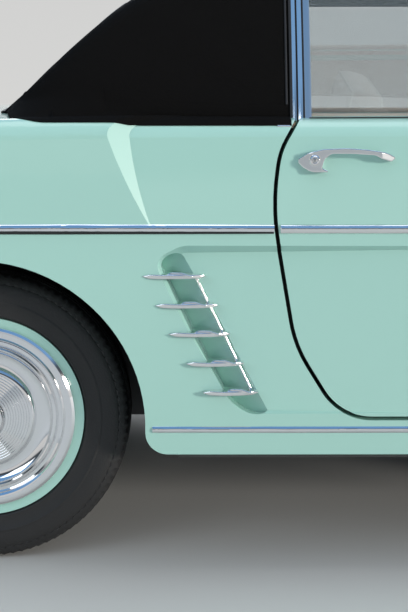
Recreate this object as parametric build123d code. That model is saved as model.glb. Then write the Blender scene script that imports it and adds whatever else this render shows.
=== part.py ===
from build123d import *
import os

# A two-door, rear-engined open car of the late 1950s, with its soft top raised.
# Millimetres. +X is forward, +Y is the car's left, +Z is up, and the ground is z = 0.

# Overall and running gear
WHEELBASE = 2265
REAR_AXLE_X = -1040
FRONT_AXLE_X = REAR_AXLE_X + WHEELBASE
REAR_END_X = -2130
FRONT_END_X = 2130
FRONT_TRACK = 1248
REAR_TRACK = 1220
TYRE_RADIUS = 300
TYRE_WIDTH = 146
RIM_RADIUS = 192
FLANGE_RADIUS = 206
RIM_WIDTH = 118
AXLE_Z = TYRE_RADIUS
STEER_OFFSET = 50
RUNNING_GAP = 0.08
SEAT_GAP = 0.3
STUB_RADIUS = 14
KINGPIN_Y = FRONT_TRACK / 2 - STEER_OFFSET
KINGPIN_RADIUS = 11
ARM_Z = (AXLE_Z - 90, AXLE_Z + 90)
ARM_THICKNESS = 16
ARM_FOOT_Y = 356

# Body shell
SIDE_WALL = 60
TOP_WALL = 25
END_WALL = 85
NOSE_X = 2078
TAIL_X = -2078
SILL_Z = 242
CREASE_Z = 698
SHUT_GAP = 8
HINGE_GAP = 8
ARCH_RADIUS = 336
ARCH_FLARE = 45
COCKPIT_REAR_X = -905
COCKPIT_FRONT_X = 560
COCKPIT_HALF = 683
REAR_SEAM_X = -150
FRONT_SEAM_X = 575

# Floor pan
SHEET = 12
FLOOR_Z = SILL_Z - SHEET
PLATFORM_Z = 440
TRUNK_FLOOR_Z = 318
RAIL_INNER = 280
RAIL_TOP_Z = 440
TUB_RADIUS = 346
TUB_WALL = 6
REAR_TUB_Y = 418
FRONT_TUB_Y = 326
SEAT_STEP_X = -520
BULKHEAD_X = -935
TOE_X = 835
WHEEL_HOUSES = [
    # axle, inner wall, foot
    (REAR_AXLE_X, REAR_TUB_Y, SILL_Z),
    (FRONT_AXLE_X, FRONT_TUB_Y, TRUNK_FLOOR_Z),
]
SILL_STRIP_Z = 294
TOW_X, TOW_Y, TOW_Z = 1945, -260, 276
TOW_EYE_RADIUS = 12

# Doors
DOOR_FRONT_X = 640
DOOR_BOTTOM_Z = 321
DOOR_WAIST_X = -440
DOOR_HINGE_Z = (560, 760)
HANDLE_X = -406
HANDLE_Z = 833.5
PIN_RADIUS = 1.5
KNUCKLE_RADIUS = 3.5
KNUCKLE_LENGTH = 30

# Lids
LID_REAR_X = 800
LID_NOSE_X = 1975
LID_HALF = 455
ENGINE_LID_FRONT_X = -1125
ENGINE_LID_TAIL_X = -1985
ENGINE_LID_HALF = 460
LID_HINGE_Y = 90

# Side intakes
VENT_REAR_EDGE = [
    # x from the rear axle, z, corner radius: top, middle and foot of the bowed rear edge
    (362, 634, 23),
    (427, 494, 400),
    (508, 346, 90),
]
VENT_FRONT_EDGE = [
    # x from the rear axle, z, corner radius, downwards
    (404, 658, 23),
    (586, 331, 10),
    (552, 323, 50),
]
VENT_WIDTH = 53
VENT_FLOOR_Y = 718
VENT_FRONT_Y = 750
BLADES = [
    # rear tip from the rear axle, front tip, z
    (331, 459, 605),
    (356, 484, 547),
    (383, 507, 490),
    (417, 535, 431),
    (450, 563, 373),
]
BLADE_STAND = 10
BLADE_FACE_Y = 779
BLADE_FOOT_Y = 736
HUMP_THICKNESS = 4
BLADE_RAIL_RADIUS = 3
BLADE_RAIL_X = (434, 548)
RECESS_DEPTH = 24
RECESS_TAPER = 32
RECESS_FRONT_X = 500
RECESS_CORNERS = [
    # x, z, corner radius, where the scallop would leave the flank's widest line
    (REAR_AXLE_X + 335, 643, 42),
    (REAR_AXLE_X + 404, 680, 70),
    (RECESS_FRONT_X, 682, 0),
    (RECESS_FRONT_X, 303, 0),
    (REAR_AXLE_X + 509, 303, 80),
    (REAR_AXLE_X + 404, 494, 400),
]

# Soft top and glass
TOP_THICKNESS = 9
GLASS_THICKNESS = 5
WINDOW_REAR_X = -397
WINDOW_TOP_Z = 1222
GLASS_GAP = 8
SCREEN_BASE_X = 735
SCREEN_RADIUS = 1630
SCREEN_RAKE = (-0.71, 0, 0.704)

# Body sections, rear to front. The first group of columns is half widths, and
# valley is the line between a wing's crown and the lid.
SECTIONS = [
    # x, sill, crease, crease_z, shoulder, shoulder_z, valley, valley_z, top_z
    (REAR_AXLE_X - 1070, 590, 690, 655, 655, 800, 480, 790, 798),
    (REAR_AXLE_X - 760, 680, 748, 676, 712, 852, 500, 858, 868),
    (REAR_AXLE_X - 360, 728, 772, 692, 736, 888, 510, 902, 915),
    (REAR_AXLE_X, 742, 778, CREASE_Z, 746, 902, 515, 925, 940),
    (REAR_AXLE_X + 540, 745, 776, CREASE_Z, 748, 907, 515, 935, 950),
    (100, 742, 772, CREASE_Z, 748, 909, 510, 940, 955),
    (DOOR_FRONT_X, 735, 766, CREASE_Z, 744, 909, 500, 938, 955),
    (FRONT_AXLE_X, 726, 760, 692, 734, 893, 480, 905, 925),
    (FRONT_AXLE_X + 475, 700, 742, 676, 712, 852, 450, 830, 845),
    (FRONT_AXLE_X + 885, 620, 690, 650, 660, 800, 420, 742, 745),
]
SIDE_BULGE = 10
UPPER_BULGE = 4
SHOULDER_RADIUS = 42

# Rear wing sections: the upper flank that stands proud behind the door.
HIP_INNER = 555
HIP_SECTIONS = [
    # x, crease, crease_z, shoulder, shoulder_z, inner_z
    (REAR_AXLE_X - 1070, 690, 655, 676, 838, 776),
    (REAR_AXLE_X - 760, 748, 676, 736, 876, 842),
    (REAR_AXLE_X - 360, 772, 692, 762, 902, 880),
    (REAR_AXLE_X, 778, CREASE_Z, 770, 913, 895),
    (REAR_AXLE_X + 540, 776, CREASE_Z, 770, 915, 905),
]
HIP_RADIUS = 45
HIP_EDGE_TOP = (REAR_AXLE_X + 260, 907)
HIP_EDGE_FOOT = (REAR_AXLE_X + 338, 729)

# Soft top sections, rear to front.
TOP_BASE_Z = 880
TOP_SECTIONS = [
    # x, base half width, rail half width, rail_z, top_z, rail radius
    (-1036, 560, 540, 908, 918, 8),
    (-935, 655, 600, 990, 1020, 30),
    (-790, 690, 590, 1118, 1160, 60),
    (-600, 702, 566, 1222, 1272, 80),
    (-250, 704, 560, 1252, 1310, 85),
    (100, 702, 558, 1250, 1306, 85),
    (430, 694, 546, 1224, 1268, 70),
]


def point(x, y, z):
    return Vector(x, y, z)


def bowed(start, end, bulge):
    """An arc from start to end in a YZ plane, bowed to the left of its travel seen from +X."""
    along = (end - start).normalized()
    middle = (start + end) * 0.5 + Vector(0, -along.Z, along.Y) * bulge
    return ThreePointArc(start, middle, end).edge()


def fillet_corners(face, corners):
    """Rounds a flat face's corners, given as (point, radius)."""
    for corner, radius in corners:
        if radius > 0:
            nearest = min(face.vertices(), key=lambda v: (Vector(v) - corner).length)
            face = face.fillet_2d(radius, [nearest])
    return face


def body_section(row, inset=0, drop=0, low=180):
    """One closed cross-section of the body, inset by a wall and dropped by the roof's."""
    x, sill, crease, crease_z, shoulder, shoulder_z, valley, valley_z, top_z = row
    right = [
        point(x, inset - sill, low),
        point(x, inset - crease, crease_z),
        point(x, inset - shoulder, shoulder_z - drop),
        point(x, -valley, valley_z - drop),
    ]
    left = [point(p.X, -p.Y, p.Z) for p in reversed(right)]
    crown = ThreePointArc(right[-1], point(x, 0, top_z - drop), left[0]).edge()
    bulges = (SIDE_BULGE, UPPER_BULGE, 3)
    edges = [bowed(a, b, k) for a, b, k in zip(right, right[1:], bulges)]
    edges += [crown]
    edges += [bowed(a, b, k) for a, b, k in zip(left, left[1:], reversed(bulges))]
    edges += [Line(left[-1], right[0]).edge()]
    radius = SHOULDER_RADIUS - 0.3 * inset
    return fillet_corners(Face(Wire(edges)), [(right[2], radius), (left[1], radius)])


def body_loft(inset=0, drop=0, low=180):
    return loft([body_section(row, inset, drop, low) for row in SECTIONS])


def hip_section(row):
    """One cross-section of the right rear wing's upper flank."""
    x, crease, crease_z, shoulder, shoulder_z, inner_z = row
    foot = point(x, 2 - crease, crease_z - 4)
    top = point(x, -shoulder, shoulder_z)
    inner = point(x, -HIP_INNER, inner_z)
    deep = point(x, -HIP_INNER, crease_z - 4)
    edges = [
        bowed(foot, top, UPPER_BULGE),
        bowed(top, inner, 5),
        Line(inner, deep).edge(),
        Line(deep, foot).edge(),
    ]
    return fillet_corners(Face(Wire(edges)), [(top, HIP_RADIUS)])


def outline(corners, plane):
    """A closed flat face from corners given as (u, v, radius) in a plane."""
    flat = [plane.from_local_coords((u, v, 0)) for u, v, r in corners]
    face = make_face(Polyline(*flat, close=True)).face()
    return fillet_corners(face, [(p, c[2]) for p, c in zip(flat, corners)])


def side_prism(face, y_from, y_to):
    """An XZ face swept across the car from y_from to y_to."""
    return extrude(face.moved(Location((0, y_from, 0))), y_to - y_from, dir=(0, 1, 0))


def plan_prism(face, z_from, z_to):
    return extrude(face.moved(Location((0, 0, z_from))), z_to - z_from, dir=(0, 0, 1))


def front_prism(face, x_from, x_to):
    return extrude(face.moved(Location((x_from, 0, 0))), x_to - x_from, dir=(1, 0, 0))


def box(x0, x1, y0, y1, z0, z1):
    return Pos((x0 + x1) / 2, (y0 + y1) / 2, (z0 + z1) / 2) * Box(
        abs(x1 - x0), abs(y1 - y0), abs(z1 - z0)
    )


def rod(start, end, radius):
    """A round bar between two points."""
    along = Vector(*end) - Vector(*start)
    plane = Plane(origin=start, z_dir=along)
    return extrude(plane * Circle(radius), along.length)


def opposite(shape):
    return shape.mirror(Plane.XZ)


def both_sides(shape):
    return Compound([*shape.solids(), *opposite(shape).solids()])


def largest(shape):
    return max(shape.solids(), key=lambda s: s.volume)


def outer_body():
    """The closed outside form of the body, before anything is cut from it."""
    form = body_loft()
    hip = loft([hip_section(row) for row in HIP_SECTIONS])
    hip -= hip_front_cutter()
    form = form + hip + opposite(hip)
    side = outline(
        [
            (TAIL_X + 45, 200, 0),
            (TAIL_X, 650, 120),
            (TAIL_X + 40, 880, 0),
            (TAIL_X + 40, 1100, 0),
            (NOSE_X - 60, 1100, 0),
            (NOSE_X - 60, 800, 0),
            (NOSE_X, 720, 60),
            (NOSE_X - 50, 200, 0),
        ],
        Plane.XZ,
    )
    form &= side_prism(side, -900, 900)
    form &= plan_prism(plan_outline(), 100, 1200)
    form += headlamp_pods()
    form -= side_prism(underside_outline(), -900, 900)
    return form


def hip_front_cutter():
    """What is taken off the front of the right rear wing, along its sloping edge."""
    (top_x, top_z), (foot_x, foot_z) = HIP_EDGE_TOP, HIP_EDGE_FOOT
    proud = 24
    run = 45
    edge = [
        (top_x - 40, -800, 1000),
        (top_x, -771, top_z),
        (foot_x, -776, foot_z),
    ]
    down = Vector(foot_x - top_x, -5, foot_z - top_z)
    slope = Vector(run, proud, 0)
    normal = down.cross(slope)
    if normal.X < 0:
        normal = -normal
    plane = Plane(origin=edge[1], z_dir=normal)
    return extrude(plane * Rectangle(3000, 3000), 1500)


def plan_outline():
    """The body seen from above: bowed ends with rounded corners."""
    corner = 650
    back, front = TAIL_X + 63, NOSE_X - 72
    wide = 830
    rear = ThreePointArc((back, -corner), (TAIL_X, 0), (back, corner))
    nose = ThreePointArc((front, corner), (NOSE_X, 0), (front, -corner))
    left = Polyline((back, corner), (-1500, wide), (1500, wide), (front, corner))
    right = Polyline((front, -corner), (1500, -wide), (-1500, -wide), (back, -corner))
    face = make_face([rear, left, nose, right]).face()
    ends = [(x, y) for x in (back, front) for y in (-corner, corner)]
    return fillet_corners(face, [(point(x, y, 0), 110) for x, y in ends])


def underside_outline():
    """Everything below the body's lower edge, which rises to nose and tail."""
    return outline(
        [
            (-2300, 100, 0),
            (-2300, 352, 0),
            (-1480, SILL_Z, 500),
            (1560, SILL_Z, 500),
            (2300, 352, 0),
            (2300, 100, 0),
        ],
        Plane.XZ,
    )


LAMP_Y = 572
LAMP_Z = 704
LAMP_RADIUS = 88
LAMP_X = 2066


def headlamp_pods():
    """The round ends of the front wings, which carry the headlamps."""
    stations = [(LAMP_X, 98, 0, 0), (LAMP_X - 120, 106, 3, -4), (1600, 112, 18, -10)]
    rings = [
        Plane(origin=(x, -LAMP_Y - dy, LAMP_Z + dz), z_dir=(1, 0, 0)) * Circle(r)
        for x, r, dy, dz in stations
    ]
    pod = loft([ring.face() for ring in rings])
    return pod + opposite(pod)


def door_outline(grow=0, front_grow=0):
    """The door seen from the side, or its aperture when it is grown."""
    face = outline(
        [
            (-368, 960, 0),
            (-433, 851, 140),
            (-449, 742, 450),
            (-402, 465, 250),
            (-313, DOOR_BOTTOM_Z, 110),
            (DOOR_FRONT_X, DOOR_BOTTOM_Z, 60),
            (DOOR_FRONT_X, 960, 0),
        ],
        Plane.XZ,
    )
    if grow:
        face = offset(face, grow, kind=Kind.INTERSECTION).face()
    return face


def vent_edge(z):
    """Where the slot's rear edge is at a height."""
    top, middle, foot = VENT_REAR_EDGE
    high, low = (top, middle) if z > middle[1] else (middle, foot)
    return REAR_AXLE_X + high[0] + (low[0] - high[0]) * (high[1] - z) / (high[1] - low[1])


def recess_cutter():
    """The shallow scallop that leads back along the door into the intake."""
    face = outline(RECESS_CORNERS, Plane.XZ)
    start = Location((0, -800, 0))
    tapered = extrude(face.moved(start), 60, dir=(0, 1, 0), taper=RECESS_TAPER)
    floor_y = 776 - RECESS_DEPTH
    foot_x = vent_edge(RECESS_CORNERS[3][1])
    floor = make_face(
        Polyline(
            (foot_x, -floor_y, 0),
            (RECESS_FRONT_X + 60, -778, 0),
            (RECESS_FRONT_X + 60, -900, 0),
            (foot_x - 400, -900, 0),
            (foot_x - 400, -floor_y + 6, 0),
            close=True,
        )
    )
    return tapered & plan_prism(floor.face(), 100, 1000)


def vent_outline():
    """The intake's slanting slot seen from the side."""
    corners = VENT_REAR_EDGE[::-1] + VENT_FRONT_EDGE
    return outline([(REAR_AXLE_X + x, z, r) for x, z, r in corners], Plane.XZ)


def vent_cutter():
    """The slot's pocket, deepest behind its rear lip."""
    pocket = side_prism(vent_outline(), -900, -VENT_FLOOR_Y)
    top_x, top_z, _ = VENT_REAR_EDGE[0]
    foot_x, foot_z, _ = VENT_REAR_EDGE[-1]
    along = Vector(foot_x - top_x, 0, foot_z - top_z).normalized()
    across = Vector(-along.Z, 0, along.X)
    rear = Vector(REAR_AXLE_X + top_x, -VENT_FLOOR_Y, top_z)
    slope = across * VENT_WIDTH + Vector(0, VENT_FLOOR_Y - VENT_FRONT_Y, 0)
    normal = along.cross(slope)
    if normal.Y > 0:
        normal = -normal
    keep = extrude(Plane(origin=rear, z_dir=normal) * Rectangle(2000, 2000), 800)
    return pocket & keep


def arch_cutter(axle_x):
    """A wheel's opening through the side, with its flared foot."""
    circle = Plane.XZ.offset(0) * Pos(axle_x, AXLE_Z) * Circle(ARCH_RADIUS)
    below = Plane.XZ * Pos(axle_x, SILL_Z - 150) * Rectangle(1400, 300)
    face = (circle + below).face()
    half = (ARCH_RADIUS**2 - (AXLE_Z - SILL_Z) ** 2) ** 0.5
    corners = [(point(axle_x + s * half, 0, SILL_Z), ARCH_FLARE) for s in (-1, 1)]
    face = fillet_corners(face, corners)
    return side_prism(face, -900, -540)


def inner_space():
    """The hollow inside the body's walls, open below."""
    hollow = body_loft(SIDE_WALL, TOP_WALL, 90)
    return hollow & plan_prism(offset(plan_outline(), -END_WALL).face(), 0, 1200)


def shell(form):
    """The whole skin, one wall thick, with its openings cut but no panel parted."""
    skin = form - inner_space()
    skin -= box(
        COCKPIT_REAR_X, COCKPIT_FRONT_X, -COCKPIT_HALF, COCKPIT_HALF, 700, 1200
    )
    for cutter in (
        arch_cutter(REAR_AXLE_X),
        arch_cutter(FRONT_AXLE_X),
        recess_cutter() + vent_cutter(),
    ):
        skin -= cutter
        skin -= opposite(cutter)
    return skin


def lid_outline(grow=0):
    face = outline(
        [
            (LID_REAR_X, -LID_HALF, 20),
            (LID_NOSE_X - 10, -LID_HALF + 60, 90),
            (LID_NOSE_X, 0, 0),
            (LID_NOSE_X - 10, LID_HALF - 60, 90),
            (LID_REAR_X, LID_HALF, 20),
        ],
        Plane.XY,
    )
    if grow:
        face = offset(face, grow, kind=Kind.INTERSECTION).face()
    return face


def engine_lid_outline(grow=0):
    face = outline(
        [
            (ENGINE_LID_FRONT_X, -ENGINE_LID_HALF, 30),
            (ENGINE_LID_TAIL_X + 10, -ENGINE_LID_HALF + 40, 70),
            (ENGINE_LID_TAIL_X, 0, 0),
            (ENGINE_LID_TAIL_X + 10, ENGINE_LID_HALF - 40, 70),
            (ENGINE_LID_FRONT_X, ENGINE_LID_HALF, 30),
        ],
        Plane.XY,
    )
    if grow:
        face = offset(face, grow, kind=Kind.INTERSECTION).face()
    return face



DOOR_EDGE_X = DOOR_FRONT_X + SHUT_GAP - HINGE_GAP
DOOR_AXIS = (DOOR_FRONT_X + SHUT_GAP - HINGE_GAP / 2, -762.5)


def door_knuckles():
    """The door's own hinge tubes, with the webs that carry them on its front edge."""
    x, y = DOOR_AXIS
    half = KNUCKLE_LENGTH / 2
    parts = []
    for z in DOOR_HINGE_Z:
        tube = Pos(x, y, z) * Cylinder(KNUCKLE_RADIUS, 2 * half)
        tube += box(DOOR_EDGE_X - 3, x, y - 1.5, y + 1.5, z - half, z + half)
        parts.append(tube - Pos(x, y, z) * Cylinder(PIN_RADIUS + RUNNING_GAP, 60))
    return parts


def pillar_knuckles():
    """The pillar's hinge pins and collars, above and below each of the door's tubes."""
    x, y = DOOR_AXIS
    half, collar = KNUCKLE_LENGTH / 2, 15
    parts = []
    for z in DOOR_HINGE_Z:
        pin = Pos(x, y, z) * Cylinder(PIN_RADIUS, 2 * (half + collar))
        for s in (-1, 1):
            low, high = sorted((z + s * (half + SEAT_GAP), z + s * (half + collar)))
            ring = Pos(x, y, (low + high) / 2) * Cylinder(KNUCKLE_RADIUS, high - low)
            pin += ring + box(x, DOOR_FRONT_X + SHUT_GAP + 3, y - 1.5, y + 1.5, low, high)
        parts.append(pin)
    return parts


def top_of(shape, x, y):
    """The height of a shape's upper surface above a point of the plan."""
    return (shape & Line((x, y, 600), (x, y, 1300)).edge()).bounding_box().max.Z


def swept(lid, far_x, axis, form):
    """A lid trimmed so that its far edge stays on one arc about its hinge as it opens."""
    axis_x, axis_z = axis
    reach = ((far_x - axis_x) ** 2 + (axis_z - top_of(form, far_x, 0)) ** 2) ** 0.5
    return lid & (Pos(axis_x, 0, axis_z) * Rot(90, 0, 0) * Cylinder(reach, 2000))


def lid_knuckles(x, z, lid_side):
    """A lid's hinge tubes and the body's pins and collars, on an axis across the car."""
    half, collar = KNUCKLE_LENGTH / 2, 15
    reach = HINGE_GAP / 2 + 3
    tubes, pins = [], []
    for centre in (-LID_HINGE_Y, LID_HINGE_Y):
        turned = Pos(x, centre, z) * Rot(90, 0, 0)
        edges = sorted((x, x + lid_side * reach))
        tube = turned * Cylinder(KNUCKLE_RADIUS, 2 * half)
        tube += box(*edges, centre - half, centre + half, z - 1.5, z + 1.5)
        tubes.append(tube - turned * Cylinder(PIN_RADIUS + RUNNING_GAP, 60))
        pin = turned * Cylinder(PIN_RADIUS, 2 * (half + collar))
        edges = sorted((x, x - lid_side * reach))
        for s in (-1, 1):
            low, high = sorted((centre + s * (half + SEAT_GAP), centre + s * (half + collar)))
            spot = Pos(x, (low + high) / 2, z) * Rot(90, 0, 0)
            pin += spot * Cylinder(KNUCKLE_RADIUS, high - low)
            pin += box(*edges, low, high, z - 1.5, z + 1.5)
        pins.append(pin)
    return tubes, pins


def strip(columns, half_height, stand):
    """A bright strip along the flank, from rows of (x, y, z), still sunk in the body."""
    faces = []
    for x, y, z in columns:
        back = y + 8
        corners = [
            point(x, back, z - half_height),
            point(x, y, z - half_height),
            point(x, y, z + half_height),
            point(x, back, z + half_height),
        ]
        edges = [Line(a, b).edge() for a, b in zip(corners, corners[1:] + corners[:1])]
        edges[1] = ThreePointArc(corners[1], point(x, y - stand, z), corners[2]).edge()
        faces.append(Face(Wire(edges)))
    return loft(faces)


def waist_strip():
    return strip([(r[0], -r[2], r[3]) for r in SECTIONS], 9.5, 6)


def sill_strip():
    """The strip along the sill, set at the flank's own width there."""
    columns = []
    for row in SECTIONS[2:8]:
        share = (SILL_STRIP_Z - 180) / (row[3] - 180)
        wide = row[1] + (row[2] - row[1]) * share + 4 * SIDE_BULGE * share * (1 - share)
        columns.append((row[0], -wide, SILL_STRIP_Z))
    return strip(columns, 6.8, 4)


def soft_top_section(row, inset=0):
    x, base, rail, rail_z, top_z, radius = row
    right = [
        point(x, inset - base, TOP_BASE_Z - 2 * inset),
        point(x, inset - rail, rail_z - inset),
    ]
    left = [point(p.X, -p.Y, p.Z) for p in reversed(right)]
    edges = [
        bowed(*right, 6),
        ThreePointArc(right[1], point(x, 0, top_z - inset), left[0]).edge(),
        bowed(*left, 6),
        Line(left[1], right[0]).edge(),
    ]
    corners = [(right[1], radius - 0.5 * inset), (left[0], radius - 0.5 * inset)]
    return fillet_corners(Face(Wire(edges)), corners)


def soft_top_form(inset=0):
    return loft([soft_top_section(row, inset) for row in TOP_SECTIONS])


def screen_band(back, thick):
    """A curved, raked sheet on the windscreen's surface, set back from its face."""
    centre_x = SCREEN_BASE_X - SCREEN_RADIUS
    ring = Pos(centre_x, 0) * (
        Circle(SCREEN_RADIUS - back) - Circle(SCREEN_RADIUS - back - thick)
    )
    ring &= Pos(SCREEN_BASE_X, 0) * Rectangle(900, 1500)
    rake = Vector(*SCREEN_RAKE)
    start = ring.face().moved(Location(rake * -80 + Vector(0, 0, 905)))
    return extrude(start, 640, dir=rake)


def screen_outline(grow=0):
    """The windscreen opening seen from the front, or its frame's edge when grown."""
    face = outline(
        [(-652, 850, 0), (-536, 1238, 70), (536, 1238, 70), (652, 850, 0)], Plane.YZ
    )
    if grow:
        face = offset(face, grow, kind=Kind.INTERSECTION).face()
    return face


def door_glass(clear=0):
    """The right door's pane, leaning in, or the slot that it stands in when clear."""
    foot, head = Vector(0, -723, 850), Vector(0, -566, 1215)
    lean = (head - foot).normalized()
    face = outline(
        [
            (WINDOW_REAR_X + GLASS_GAP, 850, 0),
            (WINDOW_REAR_X + GLASS_GAP, WINDOW_TOP_Z - GLASS_GAP, 25),
            (268, WINDOW_TOP_Z - GLASS_GAP, 30),
            (566, 905, 0),
            (566, 850, 0),
        ],
        Plane.XZ,
    )
    pane = Plane(origin=foot, x_dir=(1, 0, 0), z_dir=lean.cross(Vector(1, 0, 0)))
    sheet = extrude(pane * Rectangle(3000, 3000), GLASS_THICKNESS / 2 + clear, both=True)
    return sheet & side_prism(face, -900, -400)


def handle():
    """The right door's pull handle: its boss with the lock button, and a bowed grip."""
    side = [
        # x from the boss's rear tip, z from the button, corner radius
        (0, -1, 6),
        (24, 15, 20),
        (52, 22, 60),
        (98, 24, 200),
        (138, 21, 120),
        (178, 15, 60),
        (196, 4, 3),
        (186, -3, 4),
        (166, 3, 8),
        (154, 10, 30),
        (108, 13, 200),
        (68, 13, 16),
        (54, 3, 12),
        (49, -15, 4),
        (61, -21, 1),
        (60, -23, 1),
        (28, -23, 30),
        (12, -14, 20),
    ]
    plan = [
        # x from the boss's rear tip, distance out from the car's middle
        (-2, 745),
        (4, 768),
        (31, 782),
        (106, 786),
        (166, 783),
        (198, 768),
        (192, 745),
        (176, 745),
        (168, 771),
        (106, 778),
        (65, 772),
        (58, 745),
    ]
    profile = outline([(HANDLE_X + x, HANDLE_Z + z, r) for x, z, r in side], Plane.XZ)
    bow = make_face(Polyline(*[(HANDLE_X + x, -y, 0) for x, y in plan], close=True)).face()
    grip = side_prism(profile, -900, -700) & plan_prism(bow, 700, 1000)
    button = Pos(HANDLE_X + 35, -775, HANDLE_Z) * Rot(90, 0, 0) * Cylinder(9.5, 21)
    return grip + button


def blade(rear, front, z):
    """One of the intake's blades: a spear seen from the side, a fin seen from above."""
    rear, front = REAR_AXLE_X + rear, REAR_AXLE_X + front
    lip = vent_edge(z)
    spear = outline(
        [
            (rear, z, 0),
            (rear + 14, z + 4, 30),
            (lip, z + 4, 0),
            (front - 12, z + 3.6, 20),
            (front, z, 1),
            (front - 12, z - 3.6, 20),
            (lip, z - 4, 0),
            (rear + 14, z - 4, 30),
        ],
        Plane.XZ,
    )
    hump = outline(
        [
            (lip - 2, z, 0),
            (lip + 12, z + 9, 12),
            (lip + 34, z + 8.5, 16),
            (lip + 58, z, 0),
        ],
        Plane.XZ,
    )
    stand = BLADE_FACE_Y + BLADE_STAND
    fin = outline(
        [
            (rear, -BLADE_FACE_Y, 0),
            (rear + 0.35 * (front - rear), -stand, 90),
            (front - 0.25 * (front - rear), -stand + 3, 60),
            (front, -BLADE_FACE_Y + 8, 0),
            (front, -BLADE_FOOT_Y, 0),
            (rear, -BLADE_FOOT_Y, 0),
        ],
        Plane.XY,
    )
    hump_plate = side_prism(hump, -stand + 3, -stand + 3 + HUMP_THICKNESS)
    return (side_prism(spear, -900, -700) & plan_prism(fin, 0, 900)) + hump_plate


def intake_blades(body):
    """The right intake's blades on their rail, seated on the body."""
    top_x, foot_x = BLADE_RAIL_X
    rail = rod(
        (REAR_AXLE_X + top_x, -VENT_FRONT_Y - 4, BLADES[0][2]),
        (REAR_AXLE_X + foot_x, -VENT_FRONT_Y - 2, BLADES[-1][2]),
        BLADE_RAIL_RADIUS,
    )
    for row in BLADES:
        rail += blade(*row)
    return rail - body


def ring_of(profile):
    """Revolves a closed (radius, width) profile about the Y axis."""
    points = [(r, w, 0) for r, w in profile]
    face = make_face(Polyline(*points, close=True))
    return revolve(face, Axis.Y)


def tyre():
    """The tyre as a plain carcass: its crown, shoulders and walls, seated on the rim."""
    half = TYRE_WIDTH / 2
    side = [(FLANGE_RADIUS, half), (TYRE_RADIUS - 12, half), (TYRE_RADIUS, half - 13)]
    return ring_of([(r, -w) for r, w in side] + side[::-1])


def rim():
    """The steel wheel: rim, disc, hub and brake drum, outer side towards +Y."""
    r, f, w = RIM_RADIUS, FLANGE_RADIUS, RIM_WIDTH / 2 + 6
    barrel = ring_of([(f, -w), (f, w), (r - 6, w - 6), (r - 12, 6 - w)])
    disc = ring_of([(r - 8, 4), (r - 8, 10), (110, 30), (20, 30), (20, 24), (108, 24)])
    bore = STUB_RADIUS + RUNNING_GAP
    hub = ring_of([(bore, -20), (30, -20), (30, 28), (bore, 28)])
    drum = ring_of([(20, 18), (112, 18), (112, -24), (122, -24), (122, 25), (20, 25)])
    return barrel + disc + hub + drum


def hubcap():
    """The bright cap's main rings, snapped over the rim's outer edge."""
    face = [(188, 62), (182, 70), (163, 67), (152, 60), (147, 70), (108, 56), (101, 68)]
    face += [(44, 80), (40, 90), (0, 94)]
    back = [(0, 86), (100, 52), (184, 56)]
    return ring_of(face + back)


def wheel_at(shape, x, y):
    """Places a wheel piece made about the Y axis, outer side away from the car."""
    turned = shape if y > 0 else Rot(0, 0, 180) * shape
    return Pos(x, y, AXLE_Z) * turned


def knuckle():
    """The left front stub axle on its kingpin."""
    x, y = FRONT_AXLE_X, KINGPIN_Y
    pin = Pos(x, y, AXLE_Z) * Cylinder(KINGPIN_RADIUS, ARM_Z[1] - ARM_Z[0] + 40)
    block = Pos(x, y, AXLE_Z) * Cylinder(22, ARM_Z[1] - ARM_Z[0] - ARM_THICKNESS - 2 * SEAT_GAP)
    end = FRONT_TRACK / 2 + 26
    stub = rod((x, y, AXLE_Z), (x, end, AXLE_Z), STUB_RADIUS)
    steering_arm = box(x - 110, x, y - 34, y - 14, AXLE_Z - 40, AXLE_Z - 24)
    return pin + block + stub + steering_arm


def front_suspension():
    """The crossmember, its towers and both pairs of wishbones."""
    x = FRONT_AXLE_X
    frame = box(x - 50, x + 50, -360, 360, 232, TRUNK_FLOOR_Z)
    for s in (-1, 1):
        y = s * ARM_FOOT_Y
        frame += box(x - 70, x + 70, y - 22, y + 22, ARM_Z[0] - 12, ARM_Z[1] + 12)
        for z in ARM_Z:
            wish = Polyline(
                (x - 100, y), (x + 100, y), (x + 20, s * KINGPIN_Y), (x - 20, s * KINGPIN_Y), close=True
            )
            window = Polyline(
                (x - 62, y + s * 24), (x + 62, y + s * 24), (x, s * (KINGPIN_Y - 40)), close=True
            )
            plate = make_face(wish) + Pos(x, s * KINGPIN_Y) * Circle(25) - make_face(window)
            arm = extrude(plate, ARM_THICKNESS / 2, both=True).moved(Location((0, 0, z)))
            frame += arm
            frame -= Pos(x, s * KINGPIN_Y, z) * Cylinder(KINGPIN_RADIUS + RUNNING_GAP, 60)
    return frame


def rear_axle():
    """The gearbox and final drive with its swinging half axles."""
    x = REAR_AXLE_X
    case = box(x - 150, x + 130, -110, 110, 215, 400)
    case += box(x - 40, x + 40, -RAIL_INNER, RAIL_INNER, 382, RAIL_TOP_Z)
    case += rod((x, -555, AXLE_Z), (x, 555, AXLE_Z), 32)
    end = REAR_TRACK / 2 + 26
    case += rod((x, -end, AXLE_Z), (x, end, AXLE_Z), STUB_RADIUS)
    return case


def tub_drum(axle_x, inner_y, radius):
    return side_prism((Plane.XZ * Pos(axle_x, AXLE_Z) * Circle(radius)).face(), -900, -inner_y)


def wheel_tub(axle_x, inner_y, foot_z):
    """One right-hand wheel house: a drum closed on its inner side and open at its foot."""
    tub = tub_drum(axle_x, inner_y - TUB_WALL, TUB_RADIUS + TUB_WALL)
    tub -= tub_drum(axle_x, inner_y, TUB_RADIUS)
    return tub - box(axle_x - 400, axle_x + 400, -900, 0, -100, foot_z)


def without_houses(sheet):
    """Cuts the wheel houses' room out of a sheet of the floor."""
    for axle_x, inner_y, _ in WHEEL_HOUSES:
        drum = tub_drum(axle_x, inner_y - TUB_WALL, TUB_RADIUS + TUB_WALL)
        sheet -= drum
        sheet -= opposite(drum)
    return sheet


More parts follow.
